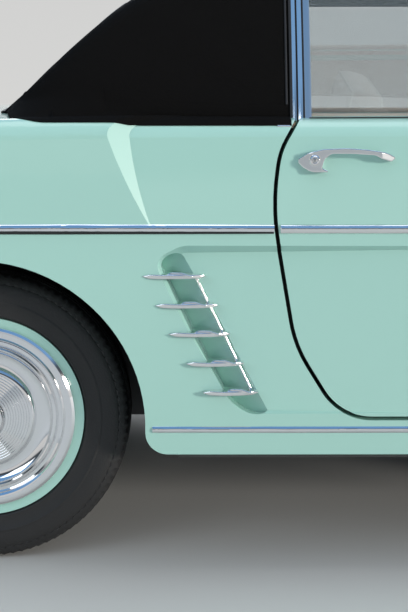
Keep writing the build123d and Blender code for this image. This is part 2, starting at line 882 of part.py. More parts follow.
def floor_pan(space):
    """The cabin's floor with its tunnel, toe board and the platform of the rear seat."""
    wide = 800
    pan = box(SEAT_STEP_X - SHEET, SEAT_STEP_X, -wide, wide, FLOOR_Z, PLATFORM_Z)
    pan += box(BULKHEAD_X, SEAT_STEP_X, -wide, wide, PLATFORM_Z - SHEET, PLATFORM_Z)
    pan += box(TOE_X - SHEET, TOE_X, -wide, wide, FLOOR_Z, 1000)
    pan = without_houses(pan) & space
    floor = box(-640, TOE_X, -728, 728, FLOOR_Z, SILL_Z)
    floor += box(SEAT_STEP_X, TOE_X, -90, 90, SILL_Z - 2, 340)
    floor -= box(SEAT_STEP_X - 1, TOE_X + 60, -82, 82, FLOOR_Z - 2, 332)
    return pan + floor


def rear_bulkhead(space):
    wall = box(BULKHEAD_X - SHEET, BULKHEAD_X, -800, 800, PLATFORM_Z - SHEET, 1000)
    return without_houses(wall) & space


def chassis_rails(space):
    """The two rails that carry the engine, below the platform and back to the tail."""
    rail = box(TAIL_X, SEAT_STEP_X - SHEET, RAIL_INNER, RAIL_INNER + 50, RAIL_TOP_Z - 60, RAIL_TOP_Z)
    rail -= box(BULKHEAD_X - SHEET, SEAT_STEP_X, 0, 800, PLATFORM_Z - SHEET, 1000)
    return both_sides(rail & space)


def wheel_houses(space):
    """The four drums over the wheels, with the openings of the driven half axles."""
    shaft_way = (REAR_AXLE_X - 60, REAR_AXLE_X + 60)
    way = box(*shaft_way, -REAR_TUB_Y - 10, REAR_TUB_Y + 10, 0, AXLE_Z + 70)
    tubs = [(wheel_tub(*house) - way) & space for house in WHEEL_HOUSES]
    return both_sides(Compound([solid for tub in tubs for solid in tub.solids()]))


def boot_floor(space):
    """The floor of the front boot, with the towing eye under it."""
    floor = box(TOE_X, NOSE_X, -800, 800, TRUNK_FLOOR_Z, TRUNK_FLOOR_Z + SHEET)
    eye = box(TOW_X - 60, TOW_X + 30, TOW_Y - 5, TOW_Y + 5, TOW_Z - 26, TRUNK_FLOOR_Z + 2)
    eye = fillet(eye.edges().filter_by(Axis.Y).group_by(Axis.Z)[0], 25)
    eye -= Pos(TOW_X, TOW_Y, TOW_Z) * Rot(90, 0, 0) * Cylinder(TOW_EYE_RADIUS, 60)
    return (without_houses(floor) & space) + eye


def seats():
    """The two front seats, each a plinth, a cushion and a raked back."""
    side = outline(
        [
            (-230, SILL_Z, 0),
            (-235, 420, 0),
            (-345, 850, 45),
            (-240, 868, 45),
            (-150, 500, 40),
            (240, 520, 50),
            (250, 400, 40),
            (150, SILL_Z, 0),
        ],
        Plane.XZ,
    )
    seat = side_prism(side, -595, -110)
    tops = [e for e in seat.edges() if abs(e.center().Y + 595) < 1 or abs(e.center().Y + 110) < 1]
    tops = [e for e in tops if e.center().Z > 300]
    return both_sides(fillet(tops, 22))


def bench():
    side = outline(
        [
            (-930, PLATFORM_Z, 0),
            (-925, 860, 30),
            (-830, 868, 40),
            (-780, 575, 30),
            (-545, 590, 40),
            (-530, PLATFORM_Z, 0),
        ],
        Plane.XZ,
    )
    return side_prism(side, -408, 408)


def dashboard():
    """The dash across the cowl, under the windscreen."""
    side = outline(
        [
            (430, 770, 20),
            (420, 850, 30),
            (480, 1000, 0),
            (COCKPIT_FRONT_X, 1000, 0),
            (COCKPIT_FRONT_X, 700, 0),
            (500, 700, 20),
        ],
        Plane.XZ,
    )
    return side_prism(side, -660, 660) & body_loft(SIDE_WALL, 6, 90)


WHEEL_Y = 350


def steering_wheel(dash):
    """The steering wheel, its three spokes and its column into the dash."""
    hub = Vector(225, WHEEL_Y, 812)
    along = Vector(1, 0, -0.3).normalized()
    plane = Plane(origin=hub, z_dir=along)
    rim_ring = plane * Torus(190, 10)
    wheel = rim_ring + plane * Cylinder(28, 24)
    for angle in (90, 210, 330):
        wheel += plane * Rot(0, 0, angle) * Pos(100, 0, 0) * Box(180, 16, 8)
    return wheel + (rod(tuple(hub), tuple(hub + along * 300), 16) - dash)


def bumper(body, front):
    """A bumper that follows the body's end, with its two overriders and its irons."""
    ring = offset(plan_outline(), 52).face() - offset(plan_outline(), 30).face()
    low, high = (395, 485) if front else (400, 490)
    bar = plan_prism(ring.face(), low, high)
    bar &= box(1850, 2200, -900, 900, 0, 900) if front else box(-2200, -1800, -900, 900, 0, 900)
    s = 1 if front else -1
    nose = s * 2118
    for y in (-320, 320):
        guard = Pos(s * 2092, y, (low + high) / 2) * Box(60, 56, 170)
        bar += fillet(guard.edges(), 12)
        inner = s * 2020
        bar += box(inner, s * 2085, y - 22, y + 22, low + 25, high - 25)
    return bar - body


def headlamp_rims():
    ring = Pos(LAMP_X, -LAMP_Y, LAMP_Z) * Rot(0, 0, -90) * ring_of(
        [(82, 0), (98, 0), (97, 10), (90, 19), (82, 20)]
    )
    return both_sides(ring)


def lamp_lenses(body):
    """Headlamp glasses inside their rims, and the small lamps below them."""
    dome = Pos(LAMP_X, -LAMP_Y, LAMP_Z) * Rot(0, 0, -90) * ring_of(
        [(0, 0), (82, 0), (82, 14), (60, 20), (30, 24), (0, 25)]
    )
    small = rod((2000, -LAMP_Y, 556), (2042, -LAMP_Y, 556), 30) - body
    return Compound([*both_sides(dome).solids(), *both_sides(small).solids()])


def tail_lamps(body):
    lens = Pos(-2014, -640, 722) * Box(66, 46, 130)
    lens = fillet(lens.edges().filter_by(Axis.X), 20)
    return both_sides(lens - body)


def plates(body):
    rear = box(-2092, -2040, -230, 230, 530, 640) - body
    front = box(2040, 2094, -230, 230, 262, 372) - body
    return Compound([*rear.solids(), *front.solids()])


def engine():
    return box(-1720, -1191, -RAIL_INNER, RAIL_INNER, 300, 640)


def exhaust():
    can = rod((-1810, -190, 350), (-1810, 190, 350), 58)
    can += rod((-1720, -150, 350), (-1800, -150, 350), 20)
    can += rod((-1850, 120, 312), (-2110, 120, 272), 18)
    return can


def part_nodes():
    """Every node of the car, by name."""
    form = outer_body()
    skin = shell(form)
    nodes = {}

    aperture = side_prism(door_outline(SHUT_GAP), -900, SHUT_GAP - COCKPIT_HALF)
    door = skin & side_prism(door_outline(), -900, -COCKPIT_HALF)
    door &= box(-900, DOOR_EDGE_X, -900, 0, 0, 1200)
    door -= door_glass(clear=3)
    bare_door = door
    for knuckle_part in door_knuckles():
        door += knuckle_part
    lid_blank = plan_prism(lid_outline(), 600, 1200)
    front_lid = (skin & lid_blank) & box(LID_REAR_X + 2, 2200, -900, 900, 0, 1200)
    engine_blank = plan_prism(engine_lid_outline(), 650, 1200)
    engine_lid = (skin & engine_blank) & box(-2200, ENGINE_LID_FRONT_X - 2, -900, 900, 0, 1200)

    body = skin - aperture - opposite(aperture)
    body -= plan_prism(lid_outline(SHUT_GAP), 600, 1200)
    body -= plan_prism(engine_lid_outline(SHUT_GAP), 650, 1200)
    rear_body = body & box(-2200, REAR_SEAM_X, -900, 900, 0, 1200)
    front_body = body & box(FRONT_SEAM_X, 2200, -900, 900, 0, 1200)
    rockers = body & box(REAR_SEAM_X, FRONT_SEAM_X, -900, 900, 0, 700)
    cowl = body & box(COCKPIT_FRONT_X - 1, FRONT_SEAM_X, -900, 900, 700, 1200)
    front_body += cowl
    for pin in pillar_knuckles():
        front_body += pin + opposite(pin)

    front_axis = (LID_REAR_X - SHUT_GAP + HINGE_GAP / 2, top_of(form, LID_REAR_X, 0) - KNUCKLE_RADIUS)
    front_lid = swept(front_lid, LID_NOSE_X, front_axis, form)
    tubes, pins = lid_knuckles(*front_axis, 1)
    for tube, pin in zip(tubes, pins):
        front_lid += tube
        front_body += pin
    engine_axis = (
        ENGINE_LID_FRONT_X + SHUT_GAP - HINGE_GAP / 2,
        top_of(form, ENGINE_LID_FRONT_X, 0) - KNUCKLE_RADIUS,
    )
    engine_lid = swept(engine_lid, ENGINE_LID_TAIL_X, engine_axis, form)
    tubes, pins = lid_knuckles(*engine_axis, -1)
    for tube, pin in zip(tubes, pins):
        engine_lid += tube
        rear_body += pin

    nodes["rear_body"] = rear_body
    nodes["front_body"] = front_body
    nodes["rockers"] = rockers
    nodes["front_lid"] = front_lid
    nodes["engine_lid"] = engine_lid
    space = inner_space()
    nodes["floor_pan"] = floor_pan(space)
    nodes["rear_bulkhead"] = rear_bulkhead(space)
    nodes["chassis_rails"] = chassis_rails(space)
    nodes["wheel_houses"] = wheel_houses(space)
    nodes["boot_floor"] = boot_floor(space)

    waist, sill = waist_strip() - form, sill_strip() - form
    at_door = box(DOOR_WAIST_X + 3, DOOR_EDGE_X - 12, -900, 0, 0, 1200)
    strip_ends = (DOOR_WAIST_X - SHUT_GAP - 1, DOOR_FRONT_X + SHUT_GAP + 14)
    past_door = box(*strip_ends, -900, 0, 600, 1200)
    ends = box(-1850, 1850, -900, 0, 0, 1200)
    body_trim = (waist & ends) - past_door
    arch_span = box(REAR_AXLE_X + 350, FRONT_AXLE_X - 352, -900, 0, 0, 600)
    nodes["body_trim"] = both_sides(Compound([*body_trim.solids(), *(sill & arch_span).solids()]))

    pane = door_glass()
    knob = handle() - bare_door
    knob = largest(knob)
    for side, place in (("right", lambda s: s), ("left", opposite)):
        nodes[f"door_{side}"] = place(door)
        nodes[f"door_glass_{side}"] = place(pane)
        bright = Compound([knob, *(waist & at_door).solids()])
        nodes[f"door_brightwork_{side}"] = place(bright)

    nodes["intake_blades"] = both_sides(intake_blades(rear_body))

    border = (screen_outline(26) - screen_outline()).face()
    frame = (screen_band(0, 22) & front_prism(border, 0, 1200)) - form
    glass = (screen_band(8, 6) & front_prism(screen_outline(), 0, 1200)) - form
    nodes["windscreen_frame"] = largest(frame)
    nodes["windscreen_glass"] = largest(glass)

    top = soft_top_form()
    ahead = screen_band(-400, 425)
    window = outline(
        [
            (WINDOW_REAR_X, 860, 0),
            (WINDOW_REAR_X, WINDOW_TOP_Z, 30),
            (330, WINDOW_TOP_Z, 0),
            (700, 860, 0),
        ],
        Plane.XZ,
    )
    rear_light = outline(
        [(-330, 985, 50), (-290, 1180, 50), (290, 1180, 50), (330, 985, 50)], Plane.YZ
    )
    rear_light = front_prism(rear_light, -1100, -500)
    fabric = top - soft_top_form(TOP_THICKNESS) - form - ahead - rear_light
    fabric -= side_prism(window, -900, 900)
    nodes["soft_top"] = largest(fabric)
    vinyl = (soft_top_form(3) - soft_top_form(5)) & rear_light
    nodes["rear_window"] = largest(vinyl)

    nodes["front_seats"] = seats()
    nodes["rear_seat"] = bench()
    nodes["dashboard"] = dashboard()
    nodes["steering_wheel"] = steering_wheel(nodes["dashboard"])
    nodes["front_bumper"] = bumper(front_body, True)
    nodes["rear_bumper"] = bumper(rear_body, False)
    nodes["headlamp_rims"] = headlamp_rims()
    nodes["lamp_lenses"] = lamp_lenses(front_body)
    nodes["tail_lamps"] = tail_lamps(rear_body)
    nodes["number_plates"] = plates(body)
    nodes["engine"] = engine()
    nodes["exhaust"] = exhaust()
    nodes["front_suspension"] = front_suspension()
    nodes["rear_axle"] = rear_axle()
    nodes["knuckle_left"] = knuckle()
    nodes["knuckle_right"] = opposite(knuckle())

    pieces = {"tyre": tyre(), "rim": rim(), "hubcap": hubcap()}
    for end, x, track in (("front", FRONT_AXLE_X, FRONT_TRACK), ("rear", REAR_AXLE_X, REAR_TRACK)):
        for side, s in (("left", 1), ("right", -1)):
            for name, piece in pieces.items():
                nodes[f"{name}_{end}_{side}"] = wheel_at(piece, x, s * track / 2)
    return nodes


os.makedirs("parts", exist_ok=True)
for name, shape in part_nodes().items():
    export_step(shape, f"parts/{name}.step")
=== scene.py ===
# %% [markdown]
# A two-door open car of the late 1950s with its soft top raised. The CAD frame
# carries the body, glass, wheels and running gear at their real size. This file
# gives each piece its finish, and models what a plain solid can't show: turned
# wheel caps, tyre tread, cloth, cushions, seals and the studio.

# %% The frame
import math

import bmesh
import bpy
from mathutils import Matrix, Vector
from mathutils.bvhtree import BVHTree


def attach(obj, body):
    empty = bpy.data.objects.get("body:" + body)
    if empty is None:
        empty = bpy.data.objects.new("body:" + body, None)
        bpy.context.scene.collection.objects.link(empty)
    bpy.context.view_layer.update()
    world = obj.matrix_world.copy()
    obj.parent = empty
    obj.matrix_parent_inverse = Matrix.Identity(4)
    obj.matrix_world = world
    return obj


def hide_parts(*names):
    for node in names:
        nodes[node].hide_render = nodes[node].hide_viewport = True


MM = 0.001
# the sign of Y on each side of the car, with the side's name
SIDES = ((-1, "right"), (1, "left"))
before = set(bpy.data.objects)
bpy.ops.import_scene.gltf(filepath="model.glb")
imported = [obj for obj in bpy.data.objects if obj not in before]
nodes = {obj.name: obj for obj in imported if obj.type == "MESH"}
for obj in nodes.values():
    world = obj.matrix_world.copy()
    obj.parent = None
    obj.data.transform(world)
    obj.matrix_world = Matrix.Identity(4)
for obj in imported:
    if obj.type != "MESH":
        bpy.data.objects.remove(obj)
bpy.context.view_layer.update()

# %% [markdown]
# Every finish is one shader with the few numbers that matter: base colour,
# roughness and how metallic it is. A helper keeps each material to one line.

# %% A helper for finishes
def finish(name, colour, rough, metal=0.0, **sockets):
    """A material. Further sockets are named with underscores for spaces."""
    made = bpy.data.materials.new(name)
    made.use_nodes = True
    shader = made.node_tree.nodes["Principled BSDF"]
    shader.inputs["Base Color"].default_value = (*colour, 1)
    shader.inputs["Roughness"].default_value = rough
    shader.inputs["Metallic"].default_value = metal
    for socket, value in sockets.items():
        shader.inputs[socket.replace("_", " ")].default_value = value
    return made


# %% [markdown]
# Cloth, hide and rubber aren't smooth. A bump reads a pattern at each point of
# the piece's own space, so the pattern stays put when a door or wheel turns. A
# wave pair gives a weave, cells give the grain of hide, and noise gives rubber.

# %% Fine relief for soft surfaces
def relief(material, pattern, scale, depth, detail=2.0):
    """Gives a material a fine bump. The depth is in metres."""
    tree = material.node_tree
    place = tree.nodes.new("ShaderNodeTexCoord")
    bump = tree.nodes.new("ShaderNodeBump")
    bump.inputs["Distance"].default_value = depth

    def drawn(kind):
        node = tree.nodes.new(kind)
        node.inputs["Scale"].default_value = scale
        tree.links.new(place.outputs["Object"], node.inputs["Vector"])
        return node

    if pattern == "weave":
        both = tree.nodes.new("ShaderNodeMath")
        both.operation = "MULTIPLY"
        for number, direction in enumerate("XY"):
            wave = drawn("ShaderNodeTexWave")
            wave.bands_direction = direction
            tree.links.new(wave.outputs["Fac"], both.inputs[number])
        height = both.outputs["Value"]
    elif pattern == "grain":
        height = drawn("ShaderNodeTexVoronoi").outputs["Distance"]
    else:
        noise = drawn("ShaderNodeTexNoise")
        noise.inputs["Detail"].default_value = detail
        height = noise.outputs["Fac"]
    tree.links.new(height, bump.inputs["Height"])
    tree.links.new(bump.outputs["Normal"], tree.nodes["Principled BSDF"].inputs["Normal"])


# %% [markdown]
# The paint is a solid light mint with a clear gloss. A coat layer over a fairly
# rough base gives the deep shine of waxed enamel without turning it to metal.

# %% Paint, bright metal and glass
MINT = (0.37, 0.635, 0.565)
paint = finish("mint_paint", MINT, 0.38, Coat_Weight=1.0, Coat_Roughness=0.04)
black_paint = finish("black_paint", (0.02, 0.021, 0.022), 0.45)
chrome = finish("chrome", (0.84, 0.84, 0.85), 0.05, 1.0)
cast_chrome = finish("cast_chrome", (0.86, 0.85, 0.84), 0.07, 1.0)
satin_steel = finish("satin_steel", (0.62, 0.62, 0.62), 0.28, 1.0)
dull_metal = finish("dull_metal", (0.2, 0.2, 0.2), 0.55, 0.6)
rubber = finish("black_rubber", (0.014, 0.014, 0.0145), 0.6)
relief(rubber, "noise", 260, 0.0006)
clear_glass = finish("clear_glass", (0.75, 0.86, 0.86), 0.02, Transmission_Weight=1.0, IOR=1.45)
clear_glass.node_tree.nodes["Principled BSDF"].inputs["Alpha"].default_value = 0.35
red_glass = finish("red_lens", (0.55, 0.02, 0.015), 0.12, Coat_Weight=1.0)
cloth = finish("black_cloth", (0.0045, 0.0042, 0.004), 0.92, Specular_IOR_Level=0.1)
relief(cloth, "weave", 340, 0.0007)
# Black binding for the top, dial faces and glove box line. The same finish is painted shade in
# the louvre mouths and the key slot, and a painted reflection on the waist strip.
binding = finish("black_binding_and_painted_shade", (0.016, 0.016, 0.017), 0.55)
ivory = finish("ivory_plastic", (0.74, 0.69, 0.56), 0.3, Coat_Weight=0.6)
hide = finish("seat_hide", (0.62, 0.50, 0.40), 0.44)
relief(hide, "grain", 420, 0.0005)
carpet = finish("grey_carpet", (0.06, 0.065, 0.065), 0.95)
relief(carpet, "noise", 900, 0.0012, 6.0)
plate_white = finish("plate_white", (0.7, 0.7, 0.68), 0.4)

# A bevel modifier would change the size of the castings. A Bevel node only rounds
# the shading near each edge of the blades and handles.
CAST_EDGE = 0.004
edges = cast_chrome.node_tree.nodes.new("ShaderNodeBevel")
edges.samples = 8
edges.inputs["Radius"].default_value = CAST_EDGE
cast_shader = cast_chrome.node_tree.nodes["Principled BSDF"]
cast_chrome.node_tree.links.new(edges.outputs["Normal"], cast_shader.inputs["Normal"])
print("finishes", len(bpy.data.materials))

# %% [markdown]
# The CAD pieces come in by name, so one line dresses all whose names start alike.
# A later line wins over an earlier one.

# %% Dressing the CAD pieces
def dress(material, *starts):
    """Gives a material to the CAD nodes whose names start with one of these."""
    for name, node in nodes.items():
        if name.startswith(starts):
            node.data.materials.clear()
            node.data.materials.append(material)


dress(dull_metal, "engine", "exhaust", "front_suspension", "rear_axle", "knuckle_")
dress(paint, "rear_body", "front_body", "rockers", "front_lid", "engine_lid", "door_", "rim_")
dress(paint, "dashboard")
dress(chrome, "body_trim", "windscreen_frame", "headlamp_rims", "front_bumper", "rear_bumper")
dress(cast_chrome, "intake_blades", "door_brightwork_")
dress(clear_glass, "windscreen_glass", "door_glass_", "rear_window", "lamp_lenses")
dress(red_glass, "tail_lamps")
dress(cloth, "soft_top")
dress(hide, "front_seats", "rear_seat")
dress(ivory, "steering_wheel")
dress(plate_white, "number_plates")
dress(black_paint, "rear_bulkhead", "chassis_rails", "wheel_houses", "boot_floor")
dress(carpet, "floor_pan")
dress(rubber, "tyre_")
dress(chrome, "hubcap_")
print("dressed", sum(1 for node in nodes.values() if node.data.materials), "of", len(nodes))

# %% [markdown]
# Every new piece ends the same way: doubles merged, normals turned outwards,
# smooth shading with sharp edges kept, and a body to ride on.

# %% Finishing a piece
link = bpy.context.collection.objects.link


def kept(made, name, material, body="body", sharp=35):
    """Turns a bmesh into a named piece that rides on a body."""
    bmesh.ops.remove_doubles(made, verts=made.verts, dist=1e-6)
    bmesh.ops.recalc_face_normals(made, faces=made.faces)
    for face in made.faces:
        face.smooth = True
    mesh = bpy.data.meshes.new(name)
    made.to_mesh(mesh)
    made.free()
    mesh.set_sharp_from_angle(angle=math.radians(sharp))
    mesh.materials.append(material)
    piece = bpy.data.objects.new(name, mesh)
    link(piece)
    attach(piece, body)
    return piece


# %% [markdown]
# Caps, knobs and bezels are spun from half an outline, as on a lathe, and blocks
# are bevelled cubes. Each is made about the origin, then brought to its place.

# %% Turned pieces and blocks
def turned(rows, steps=120):
    """Spins a closed line of (radius, width) rows, in millimetres, about the Y axis."""
    made = bmesh.new()
    points = [made.verts.new((r * MM, w * MM, 0)) for r, w in rows]
    lines = [made.edges.new(pair) for pair in zip(points, points[1:] + points[:1])]
    bmesh.ops.spin(
        made, geom=points + lines, cent=(0, 0, 0), axis=(0, 1, 0),
        angle=2 * math.pi, steps=steps, use_merge=True,
    )
    bmesh.ops.remove_doubles(made, verts=made.verts, dist=1e-6)
    return made


def moved(made, place, turn=None):
    """Turns a bmesh about the origin, then brings it to its place."""
    if turn is not None:
        bmesh.ops.rotate(made, verts=made.verts, cent=(0, 0, 0), matrix=turn)
    bmesh.ops.translate(made, verts=made.verts, vec=place)


def placed(made, place, turn, name, material, body="body", sharp=35):
    """A piece made about the origin, brought to its place and kept."""
    moved(made, place, turn)
    return kept(made, name, material, body, sharp)


def rounded_block(size, radius, segments=3):
    """A block with rounded edges, centred on the origin, in metres."""
    made = bmesh.new()
    bmesh.ops.create_cube(made, size=1)
    bmesh.ops.scale(made, verts=made.verts, vec=size)
    bmesh.ops.bevel(
        made, geom=made.edges[:], offset=radius, segments=segments,
        affect="EDGES", profile=0.5, material=-1,
    )
    return made


# %% [markdown]
# Beads, piping and rods are round bars along a line. A curve with a bevel draws
# one too, but would have to become a mesh first, so circles are bridged instead.

# %% Round bars
def pipe(points, radius, sides=12, ring=False):
    """A round bar through points. A point that no ray has found is left out."""
    made = bmesh.new()
    points = [Vector(p) for p in points if p is not None]
    count = len(points)
    circles = []
    for i, here in enumerate(points):
        ahead = points[(i + 1) % count] if ring or i < count - 1 else here
        behind = points[i - 1] if ring or i > 0 else here
        turn = (ahead - behind).to_track_quat("Z", "Y").to_matrix().to_4x4()
        new = bmesh.ops.create_circle(
            made, cap_ends=False, segments=sides, radius=radius,
            matrix=Matrix.Translation(here) @ turn,
        )
        circles.append(list({e for v in new["verts"] for e in v.link_edges}))
    pairs = list(zip(circles, circles[1:]))
    if ring:
        pairs.append((circles[-1], circles[0]))
    for first, second in pairs:
        bmesh.ops.bridge_loops(made, edges=first + second)
    if not ring:
        bmesh.ops.holes_fill(made, edges=made.edges[:], sides=sides)
    return made


# %% [markdown]
# A bias-ply tyre is a turned ring. Its outline has a bead that hugs the rim, a
# thin scuff ring, a shoulder and three grooves. The grooves are pushed from side
# to side at every second step, which makes the zigzag of an old tread, and the
# shoulder is notched in the same rhythm.

# %% Tyres
TYRE_STEPS = 200
GROOVES, GROOVE_RADIUS, ZIGZAG = (0.016, 0.0425), 0.29, 0.0022
NOTCHES, NOTCH_RADIUS, NOTCH_DEPTH = (0.05, 0.0675), 0.2795, 0.0042
TYRE_WALL = [
    # radius, width from the middle
    (206, 50), (207, 60), (210, 65), (213, 66.5), (216, 66), (228, 69.5), (238, 71.6),
    (240, 72.8), (242.5, 72.8), (244.5, 71.8), (256, 72.2), (268, 70.8), (276, 68.6),
    (278, 66.8), (281, 67), (288, 64.5), (294, 60.5), (297.2, 56), (298, 50),
    (298.4, 41), (293.5, 40), (293.5, 37), (298.9, 36), (299.3, 23), (294, 22),
    (294, 19), (299.6, 18), (300, 4),
]


def tyre_ring():
    """One tyre about the Y axis, with its tread."""
    made = turned(TYRE_WALL + [(r, -w) for r, w in reversed(TYRE_WALL)], TYRE_STEPS)
    for vert in made.verts:
        radius = math.hypot(vert.co.x, vert.co.z)
        wide = abs(vert.co.y)
        step = round(math.atan2(vert.co.z, vert.co.x) / (2 * math.pi) * TYRE_STEPS)
        side = 1 if step % 2 else -1
        if GROOVES[0] < wide < GROOVES[1] and radius > GROOVE_RADIUS:
            vert.co.y += side * ZIGZAG
        if NOTCHES[0] < wide < NOTCHES[1] and radius > NOTCH_RADIUS and side > 0:
            shrunk = (radius - NOTCH_DEPTH) / radius
            vert.co.x *= shrunk
            vert.co.z *= shrunk
    return made


# %% [markdown]
# The wheel cap is one turned pressing: a convex outer ring, a groove, a bead, a
# concave dish, and a disc with fine turned lines that rises to a plain boss. It
# is spun from tables of radii, and a short loop gives the fine lines.

# %% Wheel caps
CAP_FACE = [
    (188.2, 60), (188.6, 63.5), (187, 67.5), (182, 70.8), (175, 71.6), (168, 69.8),
    (164, 66), (162.5, 62), (159, 60.4), (153, 60.6), (151, 62.5), (150.4, 66),
    (148.4, 69), (145, 70.2), (142, 69), (140, 66), (134, 61.5), (124, 58),
    (114, 57.2), (107, 58.6), (103.4, 62), (101.6, 67),
]
FINE_LINES = [(100.2, 69.6)]
for line in range(10):
    edge = 98 - 5.3 * line
    width = 70.6 + 0.95 * line
    FINE_LINES += [(edge, width), (edge - 3.4, width + 0.5), (edge - 4.2, width - 0.5)]
CAP_BOSS = [(45, 80), (43.6, 84), (40, 88.2), (34, 91), (22, 92.9), (10, 93.7), (0, 93.9)]
CAP_BACK = [(0, 87), (98, 54), (184, 57)]
CAP_LINE = CAP_FACE + FINE_LINES + CAP_BOSS + CAP_BACK
CAP_STEPS = 128
print("cap points", len(CAP_LINE))

# %% [markdown]
# Each wheel gets a tyre and a cap, which take the place of the CAD's own. On the
# right they are turned half round, so that the cap faces outwards.

# %% Four wheels
CORNERS = ["front_left", "front_right", "rear_left", "rear_right"]
# place along the car, and out from the middle
AXLES = {"front": (1.225, 0.624), "rear": (-1.040, 0.610)}
WHEEL_Z = 0.3
for corner in CORNERS:
    end, side = corner.split("_")
    x, y = AXLES[end]
    place = (x, y if side == "left" else -y, WHEEL_Z)
    outward = None if side == "left" else Matrix.Rotation(math.pi, 3, "Z")
    wheel = f"wheel_{corner}"
    tyre = placed(tyre_ring(), place, outward, f"tread_tyre_{corner}", rubber, wheel, 28)
    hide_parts(f"tyre_{corner}")
    cap = turned(CAP_LINE, CAP_STEPS)
    cap = placed(cap, place, outward, f"turned_cap_{corner}", chrome, wheel, 24)
    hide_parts(f"hubcap_{corner}")
print("tyre faces", len(tyre.data.polygons), "cap faces", len(cap.data.polygons))

# %% [markdown]
# Cloth and trim have to lie on curved CAD surfaces. A Shrinkwrap modifier could
# pull a piece onto one, but a ray tells its place before the piece is made.

# %% Finding a surface
def skin_of(*names):
    """The triangles of CAD nodes, ready for rays."""
    made = bmesh.new()
    for name in names:
        made.from_mesh(nodes[name].data)
    tree = BVHTree.FromBMesh(made)
    made.free()
    return tree


def meets(tree, start, along, limit):
    """Where a ray first meets a surface, or None."""
    hit, _, _, far = tree.ray_cast(Vector(start), Vector(along).normalized())
    return hit if hit is not None and far < limit else None


def on_flank(tree, side, x, z):
    """Where a ray from outside meets one side of the car."""
    return meets(tree, (x, side * 1.2, z), (0, -side, 0), 0.6)


# %% [markdown]
# The soft top is a single sheet stretched over hoops. A simulation would only
# find the hoops' shape again, which the CAD top has. So a flat grid is laid over
# it by rays: each row has its own angle, and runs from the deck to the screen rail.

# %% Laying the soft top
top_skin = skin_of("soft_top", "rear_window")
TOP_CENTRE, RAY_FROM, RAY_REACH = 0.88, 1.3, 1.25
PILLAR_X = -0.397
SIDE_ROWS, ROOF_ROWS, REAR_COLUMNS, FRONT_COLUMNS = 20, 56, 34, 36


def roof_point(x, turn):
    """A point of the top at a place along the car and an angle from upright."""
    out = Vector((0, math.sin(turn), math.cos(turn)))
    return meets(top_skin, Vector((x, 0, TOP_CENTRE)) + out * RAY_FROM, -out, RAY_REACH)


def furthest(test, good, bad):
    """The last value, from good towards bad, where the test still finds cloth."""
    for _ in range(16):
        middle = (good + bad) / 2
        if test(middle):
            good = middle
        else:
            bad = middle
    return good


roof_turn = furthest(lambda turn: roof_point(PILLAR_X + 0.004, turn), 0.3, 1.3)
base_turn = furthest(lambda turn: roof_point(PILLAR_X - 0.004, turn), 1.0, 1.7)
print("roof edge", round(math.degrees(roof_turn), 1), "base", round(math.degrees(base_turn), 1))

# %% [markdown]
# The roof's rows lie between its two long edges, and the rows of the quarters
# below them. For each row the rays look for the cloth's rear and front end.

# %% Rows of the sheet
def spread(first, last, steps):
    """Even values from first to last."""
    return [first + (last - first) * k / steps for k in range(steps + 1)]


turns = spread(-base_turn, -roof_turn, SIDE_ROWS)[:-1] + spread(-roof_turn, roof_turn, ROOF_ROWS)
turns += spread(roof_turn, base_turn, SIDE_ROWS)[1:]
rows, columns = len(turns) - 1, REAR_COLUMNS + FRONT_COLUMNS
row_ends = []
for row, turn in enumerate(turns):
    back = furthest(lambda x: roof_point(x, turn), PILLAR_X - 0.003, -1.1)
    on_roof = SIDE_ROWS <= row <= SIDE_ROWS + ROOF_ROWS
    narrow = turn * 0.998
    ahead = furthest(lambda x: roof_point(x, narrow), 0.1, 0.8) if on_roof else PILLAR_X
    row_ends.append((turn, back, ahead))
print("rows", len(row_ends), "middle row", [round(c, 3) for c in row_ends[rows // 2]])

# %% [markdown]
# Cloth between hoops sinks a few millimetres, and the quarter shows soft pulls
# from the corner of the window. Both are small moves inwards.

# %% Sag and pulls in the cloth
# places along the car where the cloth rests on a hoop or a rail
HOOPS = (-0.79, -0.42, 0.02, 0.40)
SAG = 0.0065
QUARTER_Y, FOLD_CORNER_Z, FOLD_REACH, FOLD_DEPTH, FOLDS = 0.48, 0.91, 0.55, 0.0022, 14


def sag(x, turn):
    """How far the cloth sinks between two hoops, in metres."""
    for behind, ahead in zip(HOOPS, HOOPS[1:]):
        if behind <= x <= ahead:
            share = (x - behind) / (ahead - behind)
            flat = math.cos(min(abs(turn) / roof_turn, 1.0) * math.pi / 2)
            return SAG * 4 * share * (1 - share) * flat
    return 0.0


def pulls(point):
    """Shallow folds that fan out from the quarter's lower front corner."""
    if abs(point.y) < QUARTER_Y or point.x > PILLAR_X:
        return 0.0
    run = Vector((point.x - PILLAR_X, point.z - FOLD_CORNER_Z))
    fan = math.atan2(run.y, -run.x)
    near = max(0.0, 1 - run.length / FOLD_REACH)
    return FOLD_DEPTH * near * (0.5 + 0.5 * math.cos(fan * FOLDS))


# %% [markdown]
# Every point of the flat grid takes its place on the top, and those where the door
# window is are cut away. Solidify gives the cloth its thickness, inwards.

